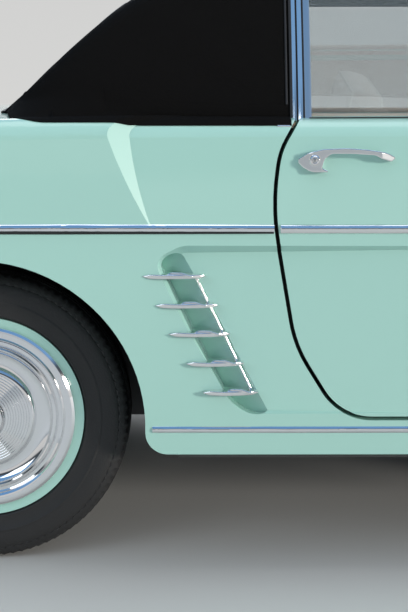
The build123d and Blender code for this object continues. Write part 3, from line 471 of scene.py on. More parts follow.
# %% The sheet in its place
CLOTH_WALL, CLOTH_PROUD = 0.0022, 0.0008
NEAR_END, NEAR_TURN = 0.0005, 0.9985
sheet_bm = bmesh.new()
bmesh.ops.create_grid(sheet_bm, x_segments=columns, y_segments=rows, size=0.5)
cut = []
for vert in sheet_bm.verts:
    column = round((vert.co.x + 0.5) * columns)
    row = round((vert.co.y + 0.5) * rows)
    turn, back, ahead = row_ends[row]
    if column <= REAR_COLUMNS:
        x = back + (PILLAR_X - back) * column / REAR_COLUMNS
    else:
        x = PILLAR_X + (ahead - PILLAR_X) * (column - REAR_COLUMNS) / FRONT_COLUMNS
    off_roof = not SIDE_ROWS <= row <= SIDE_ROWS + ROOF_ROWS
    if off_roof and column > REAR_COLUMNS:
        cut.append(vert)
        continue
    front_end = ahead if column > REAR_COLUMNS else PILLAR_X
    look_x = min(max(x, back + NEAR_END), front_end - NEAR_END)
    spot = roof_point(look_x, turn * NEAR_TURN)
    if spot is None:
        spot = roof_point(look_x, turn * 0.985) or roof_point(look_x - 0.004, turn * 0.96)
    inward = Vector((0, -math.sin(turn), -math.cos(turn)))
    spot = Vector((x, spot.y, spot.z))
    vert.co = spot + inward * (sag(x, turn) + pulls(spot) - CLOTH_PROUD)
bmesh.ops.delete(sheet_bm, geom=cut, context="VERTS")
bmesh.ops.recalc_face_normals(sheet_bm, faces=sheet_bm.faces)
cloth_area = sum(face.calc_area() for face in sheet_bm.faces)
soft_top = kept(sheet_bm, "soft_top_cloth", cloth, "body", 60)
wall = soft_top.modifiers.new("cloth_thickness", "SOLIDIFY")
wall.thickness = CLOTH_WALL
wall.offset = -1
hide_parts("soft_top")
print("cloth area", round(cloth_area, 3))

# %% [markdown]
# A bead runs round the foot of the top, and a narrow binding along the roof's
# long edges. Both are pipes through the points where the sheet ends.

# %% Bead and bindings of the top
BEAD_RADIUS = 0.0045


def cord(line, name, radius, ring=False):
    """A bound edge or a welt, which goes with the cloth."""
    kept(pipe(line, radius, 8, ring=ring), name, binding, "body", 50)


foot = []
for turn, back, _ in row_ends:
    spot = roof_point(back + 0.001, turn * NEAR_TURN)
    foot.append(Vector((back, spot.y, spot.z)))
cord(foot[1:-1], "top_foot_bead", BEAD_RADIUS)
ahead = row_ends[SIDE_ROWS + ROOF_ROWS // 2][2]
for side, name in SIDES:
    line = []
    for x in spread(PILLAR_X + 0.004, ahead - 0.008, 28):
        edge = furthest(lambda turn: roof_point(x, side * turn), 0.4, 1.4)
        line.append(roof_point(x, side * edge * 0.998))
    cord(line, f"roof_edge_binding_{name}", BEAD_RADIUS)
print("foot bead points", len(foot), "roof edge", len(line))

# %% [markdown]
# A ribbon is a strip of points laid side by side across a curve and given a
# thickness. The grid starts flat, and each column takes the place of its curve.

# %% Ribbons along curves
def ribbon(lines, name, material, thick, body="body", sharp=40):
    """A band through lines of points that all have the same count."""
    made = bmesh.new()
    across, along = len(lines) - 1, len(lines[0]) - 1
    bmesh.ops.create_grid(made, x_segments=along, y_segments=across, size=0.5)
    for vert in made.verts:
        column = round((vert.co.x + 0.5) * along)
        row = round((vert.co.y + 0.5) * across)
        vert.co = lines[row][column]
    bmesh.ops.recalc_face_normals(made, faces=made.faces)
    bmesh.ops.solidify(made, geom=made.faces[:], thickness=thick)
    return kept(made, name, material, body, sharp)


# %% [markdown]
# A wide hem starts on the cloth, crosses the gap and runs down the shoulder of
# the body. Its points are found by rays: on the cloth, then about a line inside
# the shoulder.

# %% Where the hem lies
wing_skin = skin_of("rear_body")
HEM_FOOT, HEM_LIFT, CLOTH_LIFT = 0.9000, 0.0024, 0.003
SHOULDER_Y, SHOULDER_Z = 0.690, 0.855
HEM_START_X, HEM_CORNER_X, HEM_END_X = -0.4138, -0.895, -1.008
corner_x = min(p.x for p in foot)
print("cloth ends at", round(corner_x, 4))


def hem_point(side, x, turn):
    """A point just off the shoulder, at an angle from upright about the shoulder's middle."""
    out = Vector((0, side * math.sin(turn), math.cos(turn)))
    middle = Vector((x, side * SHOULDER_Y, SHOULDER_Z))
    return meets(wing_skin, middle + out * 0.25, -out, 0.235) + out * HEM_LIFT


def cloth_foot(side, x, share):
    """A point just outside the quarter's cloth, near its lower edge."""
    turn = base_turn
    if x < row_ends[0][1]:
        edge = [p for p in foot if p.y * side > 0.35]
        nearest = sorted(edge, key=lambda p: abs(p.x - x))[:2]
        gaps = [abs(p.x - x) + 1e-6 for p in nearest]
        turns = [math.atan2(abs(p.y), p.z - TOP_CENTRE) for p in nearest]
        turn = (turns[0] * gaps[1] + turns[1] * gaps[0]) / sum(gaps)
    turn *= share
    spot = roof_point(min(max(x, corner_x + 0.003), PILLAR_X - 0.001), side * turn)
    out = Vector((0, side * math.sin(turn), math.cos(turn)))
    return Vector((x, spot.y, spot.z)) + out * CLOTH_LIFT


# %% [markdown]
# Each column has the same count of points, so that all can be joined into a
# ribbon. Behind the corner they get shorter, which rounds the hem's end.

# %% Columns of the hem
HEM_TURNS, HEM_COLUMNS = 12, 100
CLOTH_SHARES, GAP_SHARES = (0.975, 0.995), (0.3, 0.6, 0.85)
# behind this place the foot of the hem rises over a short run
RISE_X, RISE_RUN, FOOT_RISE = -0.735, 0.03, 0.0069
# the angles used where the body has no flank to meet, and at the inner end
LAST_TURN, FIRST_TURN = math.radians(48), math.radians(-4)


def shortened(line, share):
    """The same count of points, spread over the first part of a line."""
    marks = [0.0]
    for one, other in zip(line, line[1:]):
        marks.append(marks[-1] + (other - one).length)
    made = []
    for step in range(len(line)):
        want = marks[-1] * share * step / (len(line) - 1)
        at = max(k for k in range(len(marks) - 1) if marks[k] <= want)
        piece = (want - marks[at]) / max(marks[at + 1] - marks[at], 1e-9)
        made.append(line[at].lerp(line[at + 1], min(piece, 1.0)))
    return made


def hem_column(side, x):
    """Points from the cloth, across the gap to the body, and down over the shoulder."""
    rise = FOOT_RISE * min(1.0, max(0.0, (RISE_X - x) / RISE_RUN))
    foot_spot = on_flank(wing_skin, side, x, HEM_FOOT + rise)
    last = LAST_TURN
    if foot_spot is not None:
        last = math.atan2(abs(foot_spot.y) - SHOULDER_Y, foot_spot.z - SHOULDER_Z)
    column = [cloth_foot(side, x, share) for share in CLOTH_SHARES]
    inner = column[-1]
    first = max(FIRST_TURN, math.atan2(abs(inner.y) - SHOULDER_Y, inner.z - SHOULDER_Z))
    shoulder = [hem_point(side, x, turn) for turn in spread(first, last, HEM_TURNS)]
    for share in GAP_SHARES:
        spot = inner.lerp(shoulder[0], share)
        under = wing_skin.ray_cast(Vector((x, spot.y, 1.3)), Vector((0, 0, -1)))[0]
        if under is not None:
            spot.z = max(spot.z, under.z + HEM_LIFT)
        column.append(spot)
    column += shoulder
    if x < HEM_CORNER_X:
        run = min(1.0, (HEM_CORNER_X - x) / (HEM_CORNER_X - HEM_END_X))
        column = shortened(column, 0.12 + 0.88 * math.sqrt(1 - run * run))
    return column


stations = spread(HEM_START_X, HEM_END_X, HEM_COLUMNS)
print("hem columns", len(stations))

# %% [markdown]
# The columns are joined into one ribbon on each side, and a short bright clip
# holds the hem's front end.

# %% Hems and clips
HEM_WALL = 0.0018
CLIP_REAR_X, CLIP_FRONT_X, CLIP_Z, CLIP_RADIUS = -0.442, -0.413, HEM_FOOT - 0.0005, 0.0022
for side, name in SIDES:
    columns_made = [hem_column(side, x) for x in stations]
    lines = [list(line) for line in zip(*columns_made)]
    ribbon(lines, f"top_hem_{name}", cloth, HEM_WALL)
    clip = [on_flank(wing_skin, side, x, CLIP_Z) for x in spread(CLIP_REAR_X, CLIP_FRONT_X, 8)]
    kept(pipe(clip, CLIP_RADIUS, 8), f"hem_clip_{name}", chrome, "body", 60)
print("hem", len(lines), "points wide")

# %% [markdown]
# Two welts run the length of the roof, and one crosses it over the rear hoop. The
# window's welt is a rounded rectangle of the window's own size. Each lies on the
# cloth and is half sunk in it.

# %% Welts of the top
WELT_TURN, WELT_REAR_X, WELT_RADIUS, HOOP_X = 0.74, -0.70, 0.0028, -0.42
for side, name in SIDES:
    inward = Vector((0, -side * math.sin(WELT_TURN), -math.cos(WELT_TURN)))
    line = []
    for x in spread(WELT_REAR_X, ahead - 0.010, 32):
        spot = roof_point(x, side * WELT_TURN)
        line.append(spot and spot + inward * sag(x, WELT_TURN))
    cord(line, f"roof_welt_{name}", WELT_RADIUS)
hoop_end = base_turn * 0.99
hoop_line = [roof_point(HOOP_X, turn) for turn in spread(-hoop_end, hoop_end, 56)]
cord(hoop_line, "hoop_welt", WELT_RADIUS)

WINDOW_STEPS, SQUARENESS = 72, 0.35
window = nodes["rear_window"].data.vertices
low, high = min(v.co.z for v in window), max(v.co.z for v in window)
wide = max(abs(v.co.y) for v in window)
line = []
for angle in spread(0, math.tau, WINDOW_STEPS)[:-1]:
    c, d = math.cos(angle), math.sin(angle)
    y = wide * math.copysign(abs(c) ** SQUARENESS, c)
    z = (low + high) / 2 + (high - low) / 2 * math.copysign(abs(d) ** SQUARENESS, d)
    line.append(meets(top_skin, (-1.7, y, z), (1, 0, 0), 1.6))
cord(line, "rear_window_welt", 0.004, ring=True)
print("rear window", [round(c, 4) for c in (low, high, wide)])

# %% [markdown]

# %% [markdown]
# At the door window the cloth ends in thin strips of bright channel and rubber:
# four on the body, and two that ride on the door. All follow the quarter's edge.

# %% Uprights behind the door glass
def quarter_edge(side):
    """Points up the front edge of one quarter."""
    turns = spread(base_turn * 0.995, roof_turn - base_turn * 0.005, 20)
    return [roof_point(PILLAR_X - 0.003, side * turn) for turn in turns]


UPRIGHTS = [
    # rear edge, front edge, stand, thickness, finish, carried by
    (-0.4128, -0.4067, 0.0026, 0.0030, rubber, "body"),
    (-0.4067, -0.4028, 0.0036, 0.0036, chrome, "body"),
    (-0.4028, -0.3950, 0.0020, 0.0030, rubber, "body"),
    (-0.3950, -0.3905, 0.0042, 0.0050, chrome, "body"),
    (-0.3885, -0.3826, -0.0008, 0.0060, rubber, "door"),
    (-0.3826, -0.3729, 0.0004, 0.0070, satin_steel, "door"),
]
UPRIGHT_FOOT, DOOR_FRAME_TOP, CROWN = 0.9085, 1.213, 0.0012
for side, name in SIDES:
    edge = quarter_edge(side)
    low, above = edge[:2]
    edge.insert(0, low + (low - above) / (above.z - low.z) * (low.z - UPRIGHT_FOOT))
    for number, (back, front, stand, thick, look, carrier) in enumerate(UPRIGHTS, 1):
        lines = []
        follows = [p for p in edge if carrier == "body" or p.z < DOOR_FRAME_TOP]
        for x in (back, (back + front) / 2, front):
            out = stand + (CROWN if x not in (back, front) else 0)
            lines.append([Vector((x, p.y + side * out, p.z)) for p in follows])
        moves_with = "body" if carrier == "body" else f"door_{name}"
        ribbon(lines, f"quarter_upright_{number}_{name}", look, thick, moves_with)
print("uprights follow", len(edge), "points")

# %% [markdown]
# A thin wiper strip lies along the foot of each door's glass. Its section is the
# same few points all along the door.

# %% Wiper strips of the door glass
WIPER_LINE = [
    # out from the middle, above the door's top
    (0.6965, 0.0012), (0.7010, 0.0014), (0.7065, 0.0010), (0.7092, 0.0002),
]
STRIP_REAR_X, STRIP_FRONT_X = -0.376, 0.556
for side, name in SIDES:
    door_skin = skin_of(f"door_{name}")
    edge_y = side * WIPER_LINE[-1][0]
    places = spread(STRIP_REAR_X, STRIP_FRONT_X, 40)
    tops = [meets(door_skin, (x, edge_y, 1.2), (0, 0, -1), 0.4) for x in places]
    lines = [[Vector((p.x, side * y, p.z + rise)) for p in tops] for y, rise in WIPER_LINE]
    ribbon(lines, f"glass_wiper_{name}", rubber, 0.0012, f"door_{name}", 50)
print("wiper strip ends at", [round(c, 4) for c in lines[0][-1]])

# %% [markdown]
# A rubber lip on the body stands behind the rear edge of each door, so that no
# light comes through the gap. Rays find the door's edge at every height.

# %% Door seals
SEAL_Y, SEAL_FOOT, SEAL_TOP = 0.7070, 0.430, 0.895
SEAL_SHIFTS = (-0.009, 0.001, 0.011)
for side, name in SIDES:
    door_skin = skin_of(f"door_{name}")
    starts = [(-0.60, side * 0.740, z) for z in spread(SEAL_FOOT, SEAL_TOP, 47)]
    edge = [meets(door_skin, start, (1, 0, 0), 0.5) for start in starts]
    lines = [[Vector((p.x + shift, side * SEAL_Y, p.z)) for p in edge] for shift in SEAL_SHIFTS]
    ribbon(lines, f"door_seal_{name}", rubber, 0.0016)
print("seal points", len(lines[0]))

# %% [markdown]
# The long waist strip is bright above and dark below. Its dark lower half is a
# painted reflection of dark ground: a slim black band lies on the body's strip,
# ahead of the doors and behind them, and follows its fall.

# %% Painted reflection on the waist strip
REFLECTION_TOP, REFLECTION_FOOT, REFLECTION_STAND, REFLECTION_STEP = 0.6945, 0.6895, 0.0006, 0.03
# the ends of each painted dark band along the car, behind the doors and ahead of them
REFLECTION_SPANS = [(-1.84, -0.450), (0.668, 1.84)]
CREASE = [
    # place along the car, fall of the crease
    (-2.11, -0.043), (-1.80, -0.022), (-1.40, -0.006), (-1.04, 0), (1.225, -0.006),
    (1.70, -0.022), (2.11, -0.048),
]


def strip_fall(x):
    """How much lower the crease runs towards nose and tail than over the doors."""
    for (x0, fall0), (x1, fall1) in zip(CREASE, CREASE[1:]):
        if x0 <= x <= x1:
            return fall0 + (fall1 - fall0) * (x - x0) / (x1 - x0)
    return 0.0


trim_skin = skin_of("body_trim")
for side, name in SIDES:
    for number, (back, front) in enumerate(REFLECTION_SPANS, 1):
        count = int((front - back) / REFLECTION_STEP)
        lines = []
        for z in (REFLECTION_FOOT, (REFLECTION_FOOT + REFLECTION_TOP) / 2, REFLECTION_TOP):
            line = []
            for x in spread(back, front, count):
                spot = on_flank(trim_skin, side, x, z + strip_fall(x))
                if spot is not None:
                    line.append(spot + Vector((0, side * REFLECTION_STAND, 0)))
                elif line:
                    line.append(line[-1].copy())
            lines.append(line)
        shortest = min(len(line) for line in lines)
        lines = [line[-shortest:] for line in lines]
        # a black band that is the strip's painted reflection of dark ground
        ribbon(lines, f"waist_filler_body_{name}_{number}", binding, 0.0012, "body", 60)
        print("painted_reflection", name, number, "has", shortest, "points")

# %% [markdown]
# The pull handle's button is a turned ring round a small lock barrel. The key slot
# is a dark bar on the barrel, painted shade where the slot would be dark inside.

# %% Lock in the handle
LOCK_X, LOCK_Y, LOCK_Z = -0.371, 0.7855, 0.8335
RING = [(5.2, -1), (9.3, -1), (9.3, 1.2), (8.2, 2.2), (6.2, 2.0), (5.2, 0.6)]
BARREL = [(0, -1), (5.0, -1), (5.0, 0.4), (4.2, 0.9), (0, 0.9)]
for side, name in SIDES:
    door = f"door_{name}"
    outward = None if side > 0 else Matrix.Rotation(math.pi, 3, "Z")
    spot = (LOCK_X, side * LOCK_Y, LOCK_Z)
    placed(turned(RING, 40), spot, outward, f"lock_ring_{name}", chrome, door)
    placed(turned(BARREL, 32), spot, outward, f"lock_barrel_{name}", satin_steel, door)
    # painted shade: a dark bar where the key slot would be dark inside
    key_slot_shade = rounded_block((0.0011, 0.0008, 0.0050), 0.0002, 1)
    spot = (LOCK_X, side * (LOCK_Y + 0.0009), LOCK_Z)
    placed(key_slot_shade, spot, None, f"key_slot_shade_{name}", binding, door)
print("lock ring", 2 * RING[1][0], "mm wide")

# %% [markdown]
# A cushion starts as a cube cut into a fine grid. Each point is drawn onto a
# rounded box, the upper face is crowned, and the stitched channels pull it back
# down in straight lines that fade before the border.

# %% One cushion
# the shares of the half length and half width where the channels end, and fade
CHANNELS_END, CHANNELS_FADE = (0.90, 0.93), (0.16, 0.05)


def cushion(size, radius, crown, flutes, depth, cuts=44):
    """A stuffed pad, in metres, centred on the origin with its channels on top."""
    half = [c / 2 for c in size]
    made = bmesh.new()
    bmesh.ops.create_cube(made, size=2)
    bmesh.ops.subdivide_edges(made, edges=made.edges[:], cuts=cuts, use_grid_fill=True)
    for vert in made.verts:
        share = [c * (1.5 - 0.5 * c * c) for c in vert.co]
        point = Vector([c * h for c, h in zip(share, half)])
        core = Vector([max(radius - h, min(h - radius, c)) for c, h in zip(point, half)])
        away = (point - core).normalized()
        spot = core + away * radius
        rise = max(0.0, away.z) ** 0.5
        long, wide = spot.x / half[0], spot.y / half[1]
        border = 1.0
        for share, end, fade in zip((long, wide), CHANNELS_END, CHANNELS_FADE):
            border *= min(1.0, max(0.0, (end - abs(share)) / fade))
        between = abs(math.sin(math.pi * flutes * (wide / 1.84 + 0.5)))
        pull = depth * (1 - between ** 0.55) * border
        spot.z += rise * (crown * (1 - long * long) * (1 - wide * wide) - pull)
        vert.co = spot
    return made


# %% [markdown]
# The seats and the bench come from one table, and two lines of piping run round
# each pad.

# %% Seats, bench and piping
def border_line(size, radius, inset, height):
    """A rounded rectangle of points at one height, in metres."""
    line = []
    reach_x, reach_y = size[0] / 2 - radius, size[1] / 2 - radius
    for quarter, (sx, sy) in enumerate(((1, 1), (-1, 1), (-1, -1), (1, -1))):
        for step in range(9):
            turn = math.pi / 2 * (quarter + step / 8)
            out = radius - inset
            x = sx * reach_x + out * math.cos(turn)
            y = sy * reach_y + out * math.sin(turn)
            line.append(Vector((x, y, height)))
    return line


SEAT_Y = 0.3525
PAD_EDGE, PAD_CROWN, CHANNEL_DEPTH = 0.034, 0.006, 0.009
PIPING_INSET, PIPING_DROP, PIPING_RADIUS = 0.0085, 0.010, 0.0036
CUSHIONS = [
    # name, length, width, thickness, centre x, y, z, pitch, flutes, replaces
    ("seat_cushion_right", 0.415, 0.485, 0.118, 0.040, -SEAT_Y, 0.4560, -3, 7, "front_seats"),
    ("seat_cushion_left", 0.415, 0.485, 0.118, 0.040, SEAT_Y, 0.4560, -3, 7, None),
    ("seat_back_right", 0.450, 0.485, 0.094, -0.2430, -SEAT_Y, 0.6420, -75.5, 7, None),
    ("seat_back_left", 0.450, 0.485, 0.094, -0.2430, SEAT_Y, 0.6420, -75.5, 7, None),
    ("bench_cushion", 0.262, 0.816, 0.140, -0.6630, 0, 0.5120, -3, 11, "rear_seat"),
    ("bench_back", 0.418, 0.816, 0.092, -0.8730, 0, 0.6550, -85, 11, None),
]
for name, length, width, thick, x, y, z, pitch, flutes, stands_for in CUSHIONS:
    size = (length, width, thick)
    place = Vector((x, y, z))
    turn = Matrix.Rotation(math.radians(pitch), 3, "Y")
    made = cushion(size, PAD_EDGE, PAD_CROWN, flutes, CHANNEL_DEPTH)
    pad = placed(made, place, turn, name, hide, "body", 60)
    if stands_for:
        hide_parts(stands_for)
    for edge, height in (("upper", thick / 2 - PIPING_DROP), ("lower", PIPING_DROP - thick / 2)):
        border = border_line(size, PAD_EDGE, PIPING_INSET, height)
        line = pipe([turn @ p + place for p in border], PIPING_RADIUS, 8, ring=True)
        kept(line, f"{name}_{edge}_piping", ivory, "body", 60)
for side, name in SIDES:
    plinth = rounded_block((0.36, 0.42, 0.152), 0.018)
    place = (-0.030, side * SEAT_Y, 0.3205)
    placed(plinth, place, None, f"seat_plinth_{name}", black_paint)
print("pads", len(CUSHIONS))

# %% [markdown]
# Each door has a trim card on its inner side. It follows the metal and stops short
# of the shut edges.

# %% Door cards
CARD_REAR = [(0.345, -0.295), (0.42, -0.345), (0.50, -0.385), (0.60, -0.405), (0.90, -0.385)]
CARD_FRONT, CARD_FOOT, CARD_TOP, CARD_GAP = 0.585, 0.345, 0.905, 0.0025


def card_rear(z):
    """The card's rear edge at a height."""
    for (z0, x0), (z1, x1) in zip(CARD_REAR, CARD_REAR[1:]):
        if z <= z1:
            return x0 + (x1 - x0) * (z - z0) / (z1 - z0)
    return CARD_REAR[-1][1]


def door_card(side, name):
    """Makes a card, and says how far out its middle and its top lie."""
    inner_skin = skin_of(f"door_{name}")
    lines = []
    for z in spread(CARD_FOOT, CARD_TOP, 12):
        line = []
        for x in spread(card_rear(z), CARD_FRONT, 24):
            spot = meets(inner_skin, (x, side * 0.40, z), (0, side, 0), 0.5)
            line.append(Vector((x, side * (abs(spot.y) - CARD_GAP), z)))
        lines.append(line)
    ribbon(lines, f"door_card_{name}", hide, 0.003, f"door_{name}", 50)
    return abs(lines[6][12].y), abs(lines[-1][12].y)


# %% [markdown]
# A rolled top edge, two bright strips, an armrest, a window winder and a pull
# handle sit on the card, and are measured inwards from its face.

# %% What sits on a card
WINDER_BOSS = [(0, 0), (22, 0), (22, 3), (15, 9), (9, 13), (0, 14)]
WINDER_KNOB = [(0, 0), (8, 0), (11, 6), (12, 14), (9, 21), (0, 23)]
WINDER_ARM = [(0.215, 0.016, 0.560), (0.180, 0.021, 0.535), (0.130, 0.024, 0.505)]
PULL = [(0.440, 0.004, 0.640), (0.430, 0.022, 0.640), (0.370, 0.026, 0.637),
        (0.325, 0.020, 0.632)]


def aimed(along):
    """The turn that brings the Y axis onto a direction."""
    return Vector((0, 1, 0)).rotation_difference(Vector(along)).to_matrix()


def card_furniture(side, name, face_y, top_y):
    """Fits out one card, whose face and top lie this far from the middle."""
    door = f"door_{name}"
    inwards = aimed((0, -side, 0))

    def on_card(x, stand, z):
        return Vector((x, side * (face_y - stand), z))

    places = spread(STRIP_REAR_X, CARD_FRONT, 24)
    roll = [(x, side * (top_y - 0.0045), 0.9165) for x in places]
    kept(pipe(roll, 0.0068), f"door_top_roll_{name}", hide, door, 60)
    for z, radius in ((0.700, 0.0035), (0.420, 0.0030)):
        strip = [on_card(x, 0.0030, z) for x in spread(card_rear(z) + 0.02, 0.57, 20)]
        kept(pipe(strip, radius, 10), f"card_strip_{round(z * 1000)}_{name}", chrome, door, 60)
    rest = cushion((0.30, 0.062, 0.045), 0.018, 0.003, 1, 0.0, 20)
    rest = placed(rest, on_card(-0.045, 0.034, 0.640), None, f"armrest_{name}", hide, door, 60)
    foot_at, end_at = on_card(0.215, 0.003, 0.560), on_card(0.130, 0.024, 0.505)
    placed(turned(WINDER_BOSS, 40), foot_at, inwards, f"winder_boss_{name}", chrome, door)
    arm = pipe([on_card(*p) for p in WINDER_ARM], 0.0052)
    kept(arm, f"winder_arm_{name}", chrome, door, 60)
    placed(turned(WINDER_KNOB, 32), end_at, inwards, f"winder_knob_{name}", ivory, door)
    pull = pipe([on_card(*p) for p in PULL], 0.0062)
    kept(pull, f"inner_handle_{name}", chrome, door, 60)


for side, name in SIDES:
    face_y, top_y = door_card(side, name)
    card_furniture(side, name, face_y, top_y)
    print(name, "card lies", round(face_y, 4), "out, and its top", round(top_y, 4))

# %% [markdown]
# The dash carries a speedometer between two small dials, and a row of knobs. The
# dials have plain faces with a needle and no figures.

# %% Dials and knobs
DASH_OUT = aimed((-0.928, 0, 0.371))
dash_skin = skin_of("dashboard")
# out from the middle, height, and radius in millimetres
DIALS = [(0.350, 0.882, 46), (0.228, 0.880, 26), (0.472, 0.880, 26)]
KNOB = [(0, -2), (5, -2), (5, 10), (10, 12), (11, 17), (9, 21), (0, 22)]


def on_dash(y, z):
    """Where a ray from the seats meets the dash."""
    return meets(dash_skin, (0.0, y, z), (1, 0, 0), 0.8)


for number, (y, z, r) in enumerate(DIALS, 1):
    face = on_dash(y, z)
    bezel = turned([(r - 5, 0), (r, 0), (r, 5), (r - 2, 8), (r - 5, 7)], 64)
    placed(bezel, face, DASH_OUT, f"dial_bezel_{number}", chrome)
    dial = turned([(0, 0), (r - 4, 0), (r - 4, 2), (0, 2)], 48)
    placed(dial, face, DASH_OUT, f"dial_face_{number}", binding)
    needle = rounded_block((r * 0.0008, 0.0012, 0.0018), 0.0004, 1)
    moved(needle, (-r * 0.0003, 0.0032, 0), Matrix.Rotation(0.6, 3, "Y"))
    placed(needle, face, DASH_OUT, f"dial_needle_{number}", ivory)
for number, y in enumerate((-0.10, -0.04, 0.02, 0.08, 0.14), 1):
    knob = turned(KNOB, 32)
    placed(knob, on_dash(y, 0.835), aimed((-1, 0, 0.05)), f"dash_knob_{number}", ivory)
print("dials", len(DIALS), "and", number, "knobs")

# %% [markdown]
# A dark line draws the lid of the glove box, and rays keep it on the dash. The
# mirror hangs on a bent stalk, and its glass is a thin block tipped with it.

# %% Glove box and mirror
GLOVE_CORNERS = [(-0.56, 0.80), (-0.22, 0.80), (-0.22, 0.905), (-0.56, 0.905)]
GLOVE_STEPS, SUNK = 12, Vector((0.0004, 0, 0))
turns = [on_dash(y, z) - Vector((0.0006, 0, 0)) for y, z in GLOVE_CORNERS]
glove_line = []
for a, b in zip(turns, turns[1:] + turns[:1]):
    for step in range(GLOVE_STEPS):
        between = a.lerp(b, step / GLOVE_STEPS)
        glove_line.append(on_dash(between.y, between.z) - SUNK)
kept(pipe(glove_line, 0.0016, 6, ring=True), "glove_box_line", binding, "body", 60)
MIRROR_TIP = Matrix.Rotation(-0.12, 3, "Y")
mirror = rounded_block((0.016, 0.190, 0.050), 0.007)
placed(mirror, (0.318, 0, 1.165), MIRROR_TIP, "inner_mirror_back", black_paint)
mirror_glass = rounded_block((0.0015, 0.176, 0.038), 0.0006, 1)
placed(mirror_glass, (0.3090, 0, 1.1662), MIRROR_TIP, "inner_mirror_glass", chrome)
stalk = [(0.322, 0, 1.168), (0.345, 0, 1.195), (0.385, 0, 1.232)]
kept(pipe(stalk, 0.004, 10), "inner_mirror_stalk", chrome, "body", 60)
print("glove box line", len(glove_line), "points")

# %% [markdown]
# The wipers are parked along the foot of the windscreen, on the glass.

# %% Wipers
screen_skin = skin_of("windscreen_glass")
cowl_skin = skin_of("front_body")
GLASS_OUT = Vector((0.704, 0, 0.71))
WIPER_BASE_X, BLADE_STAND = 0.760, 0.006
WIPER_BOSS = [(0, -4), (9, -4), (9, 8), (6, 15), (0, 17)]
for number, pivot_y in enumerate((-0.30, 0.26), 1):
    blade = []
    for share in spread(0, 1, 16):
        place = (1.6, pivot_y + 0.10 - 0.36 * share, 0.962 + 0.030 * share)
        blade.append(meets(screen_skin, place, (-1, 0, 0), 1.3) + GLASS_OUT * BLADE_STAND)
    base = meets(cowl_skin, (WIPER_BASE_X, pivot_y + 0.16, 1.3), (0, 0, -1), 0.6)
    kept(pipe(blade, 0.0032, 8), f"wiper_blade_{number}", rubber, "body", 60)
    back = [p + GLASS_OUT * 0.005 for p in blade]
    kept(pipe(back, 0.0016, 8), f"wiper_back_{number}", satin_steel, "body", 60)
    arm = [base + Vector((0, 0, 0.012)), base + Vector((-0.010, -0.02, 0.024)), back[7]]
    kept(pipe(arm, 0.0030, 8), f"wiper_arm_{number}", chrome, "body", 60)
    placed(turned(WIPER_BOSS, 28), base, aimed((0, 0, 1)), f"wiper_boss_{number}", chrome)
    print("blade", number, "has", len(blade), "points")

# %% [markdown]
# The engine breathes through two banks of louvres, each a pressed blister turned to
# the lid's slope. A black block in each mouth is painted shade, where the open
# louvre would be dark inside.

# %% Louvres
lid_skin = skin_of("engine_lid")
LOUVRES, FIRST_X, SPACING = 9, -1.330, 0.034
PAINTED_SHADE_SHIFT = Vector((-0.0082, 0, 0.0014))
for bank, centre_y in enumerate((-0.20, 0.20), 1):
    for row in range(LOUVRES):
        start = Vector((FIRST_X - SPACING * row, centre_y, 1.3))
        hit, normal, _, _ = lid_skin.ray_cast(start, Vector((0, 0, -1)))
        turn = Vector((0, 0, 1)).rotation_difference(normal).to_matrix()
        label = f"{bank}_{row + 1}"
        blister = rounded_block((0.017, 0.215, 0.008), 0.0038, 4)
        placed(blister, hit, turn, f"louvre_{label}", paint, "engine_lid", 60)
        # painted shade: a black block where the open louvre would be dark inside
        painted_shade = rounded_block((0.0022, 0.200, 0.0030), 0.0006, 1)
        place = hit + turn @ PAINTED_SHADE_SHIFT
        placed(painted_shade, place, turn, f"louvre_painted_shade_{label}", binding, "engine_lid", 60)
print("louvres", 2 * LOUVRES, "the last at height", round(hit.z, 3))

# %% [markdown]
# Behind each headlamp glass lies a bright bowl with a bulb shield, and the small
# lamps have a bowl of their own. The tail lamps are framed by a bright bead.

# %% Lamps
FORWARD = aimed((1, 0, 0))
LAMP_Y = 0.572
HEADLAMP_BOWL = [
    (0, 0.4), (79, 0.4), (79, 7), (72, 4.6), (52, 2.2), (22, 1.2), (13, 1.2),
    (13, 8.0), (9, 10.5), (0, 11.5),
]
SIDE_LAMP_RING = [(29, -6), (33, -6), (33, 0), (31, 2.5), (29, 2)]
SIDE_LAMP_BOWL = [(0, 0), (28, 0), (28, 1), (0, 3)]
LAMP_PARTS = [
    # name, outline, steps, place along the car, height, finish
    ("headlamp_bowl", HEADLAMP_BOWL, 72, 2.066, 0.704, chrome),
    ("side_lamp_bezel", SIDE_LAMP_RING, 56, 2.0405, 0.556, chrome),
    ("side_lamp_bowl", SIDE_LAMP_BOWL, 40, 2.0385, 0.556, ivory),
]
TAIL_X, TAIL_Y, TAIL_Z = -2.0395, 0.640, 0.722
TAIL_SIZE, TAIL_CORNER = (0.047, 0.131), 0.0205
for side, name in SIDES:
    for label, outline, steps, x, z, look in LAMP_PARTS:
        place = (x, side * LAMP_Y, z)
        placed(turned(outline, steps), place, FORWARD, f"{label}_{name}", look)
    bead = border_line(TAIL_SIZE, TAIL_CORNER, 0, 0)
    bead = [(TAIL_X, side * TAIL_Y + p.x, TAIL_Z + p.y) for p in bead]
    kept(pipe(bead, 0.0035, 10, ring=True), f"tail_lamp_bead_{name}", chrome, "body", 60)
print("tail lamp bead", len(bead), "points")

# %% [markdown]
# The studio has a pale floor, a low sun from the front right as the key light, a
# wide fill on the car's right, and soft lamps behind and above it.

# %% Floor and lights
made = bmesh.new()
bmesh.ops.create_grid(made, x_segments=1, y_segments=1, size=100)
mesh = bpy.data.meshes.new("studio_floor")
made.to_mesh(mesh)
made.free()
mesh.materials.append(finish("floor_grey", (0.62, 0.62, 0.61), 0.8))
floor = bpy.data.objects.new("studio_floor", mesh)
link(floor)


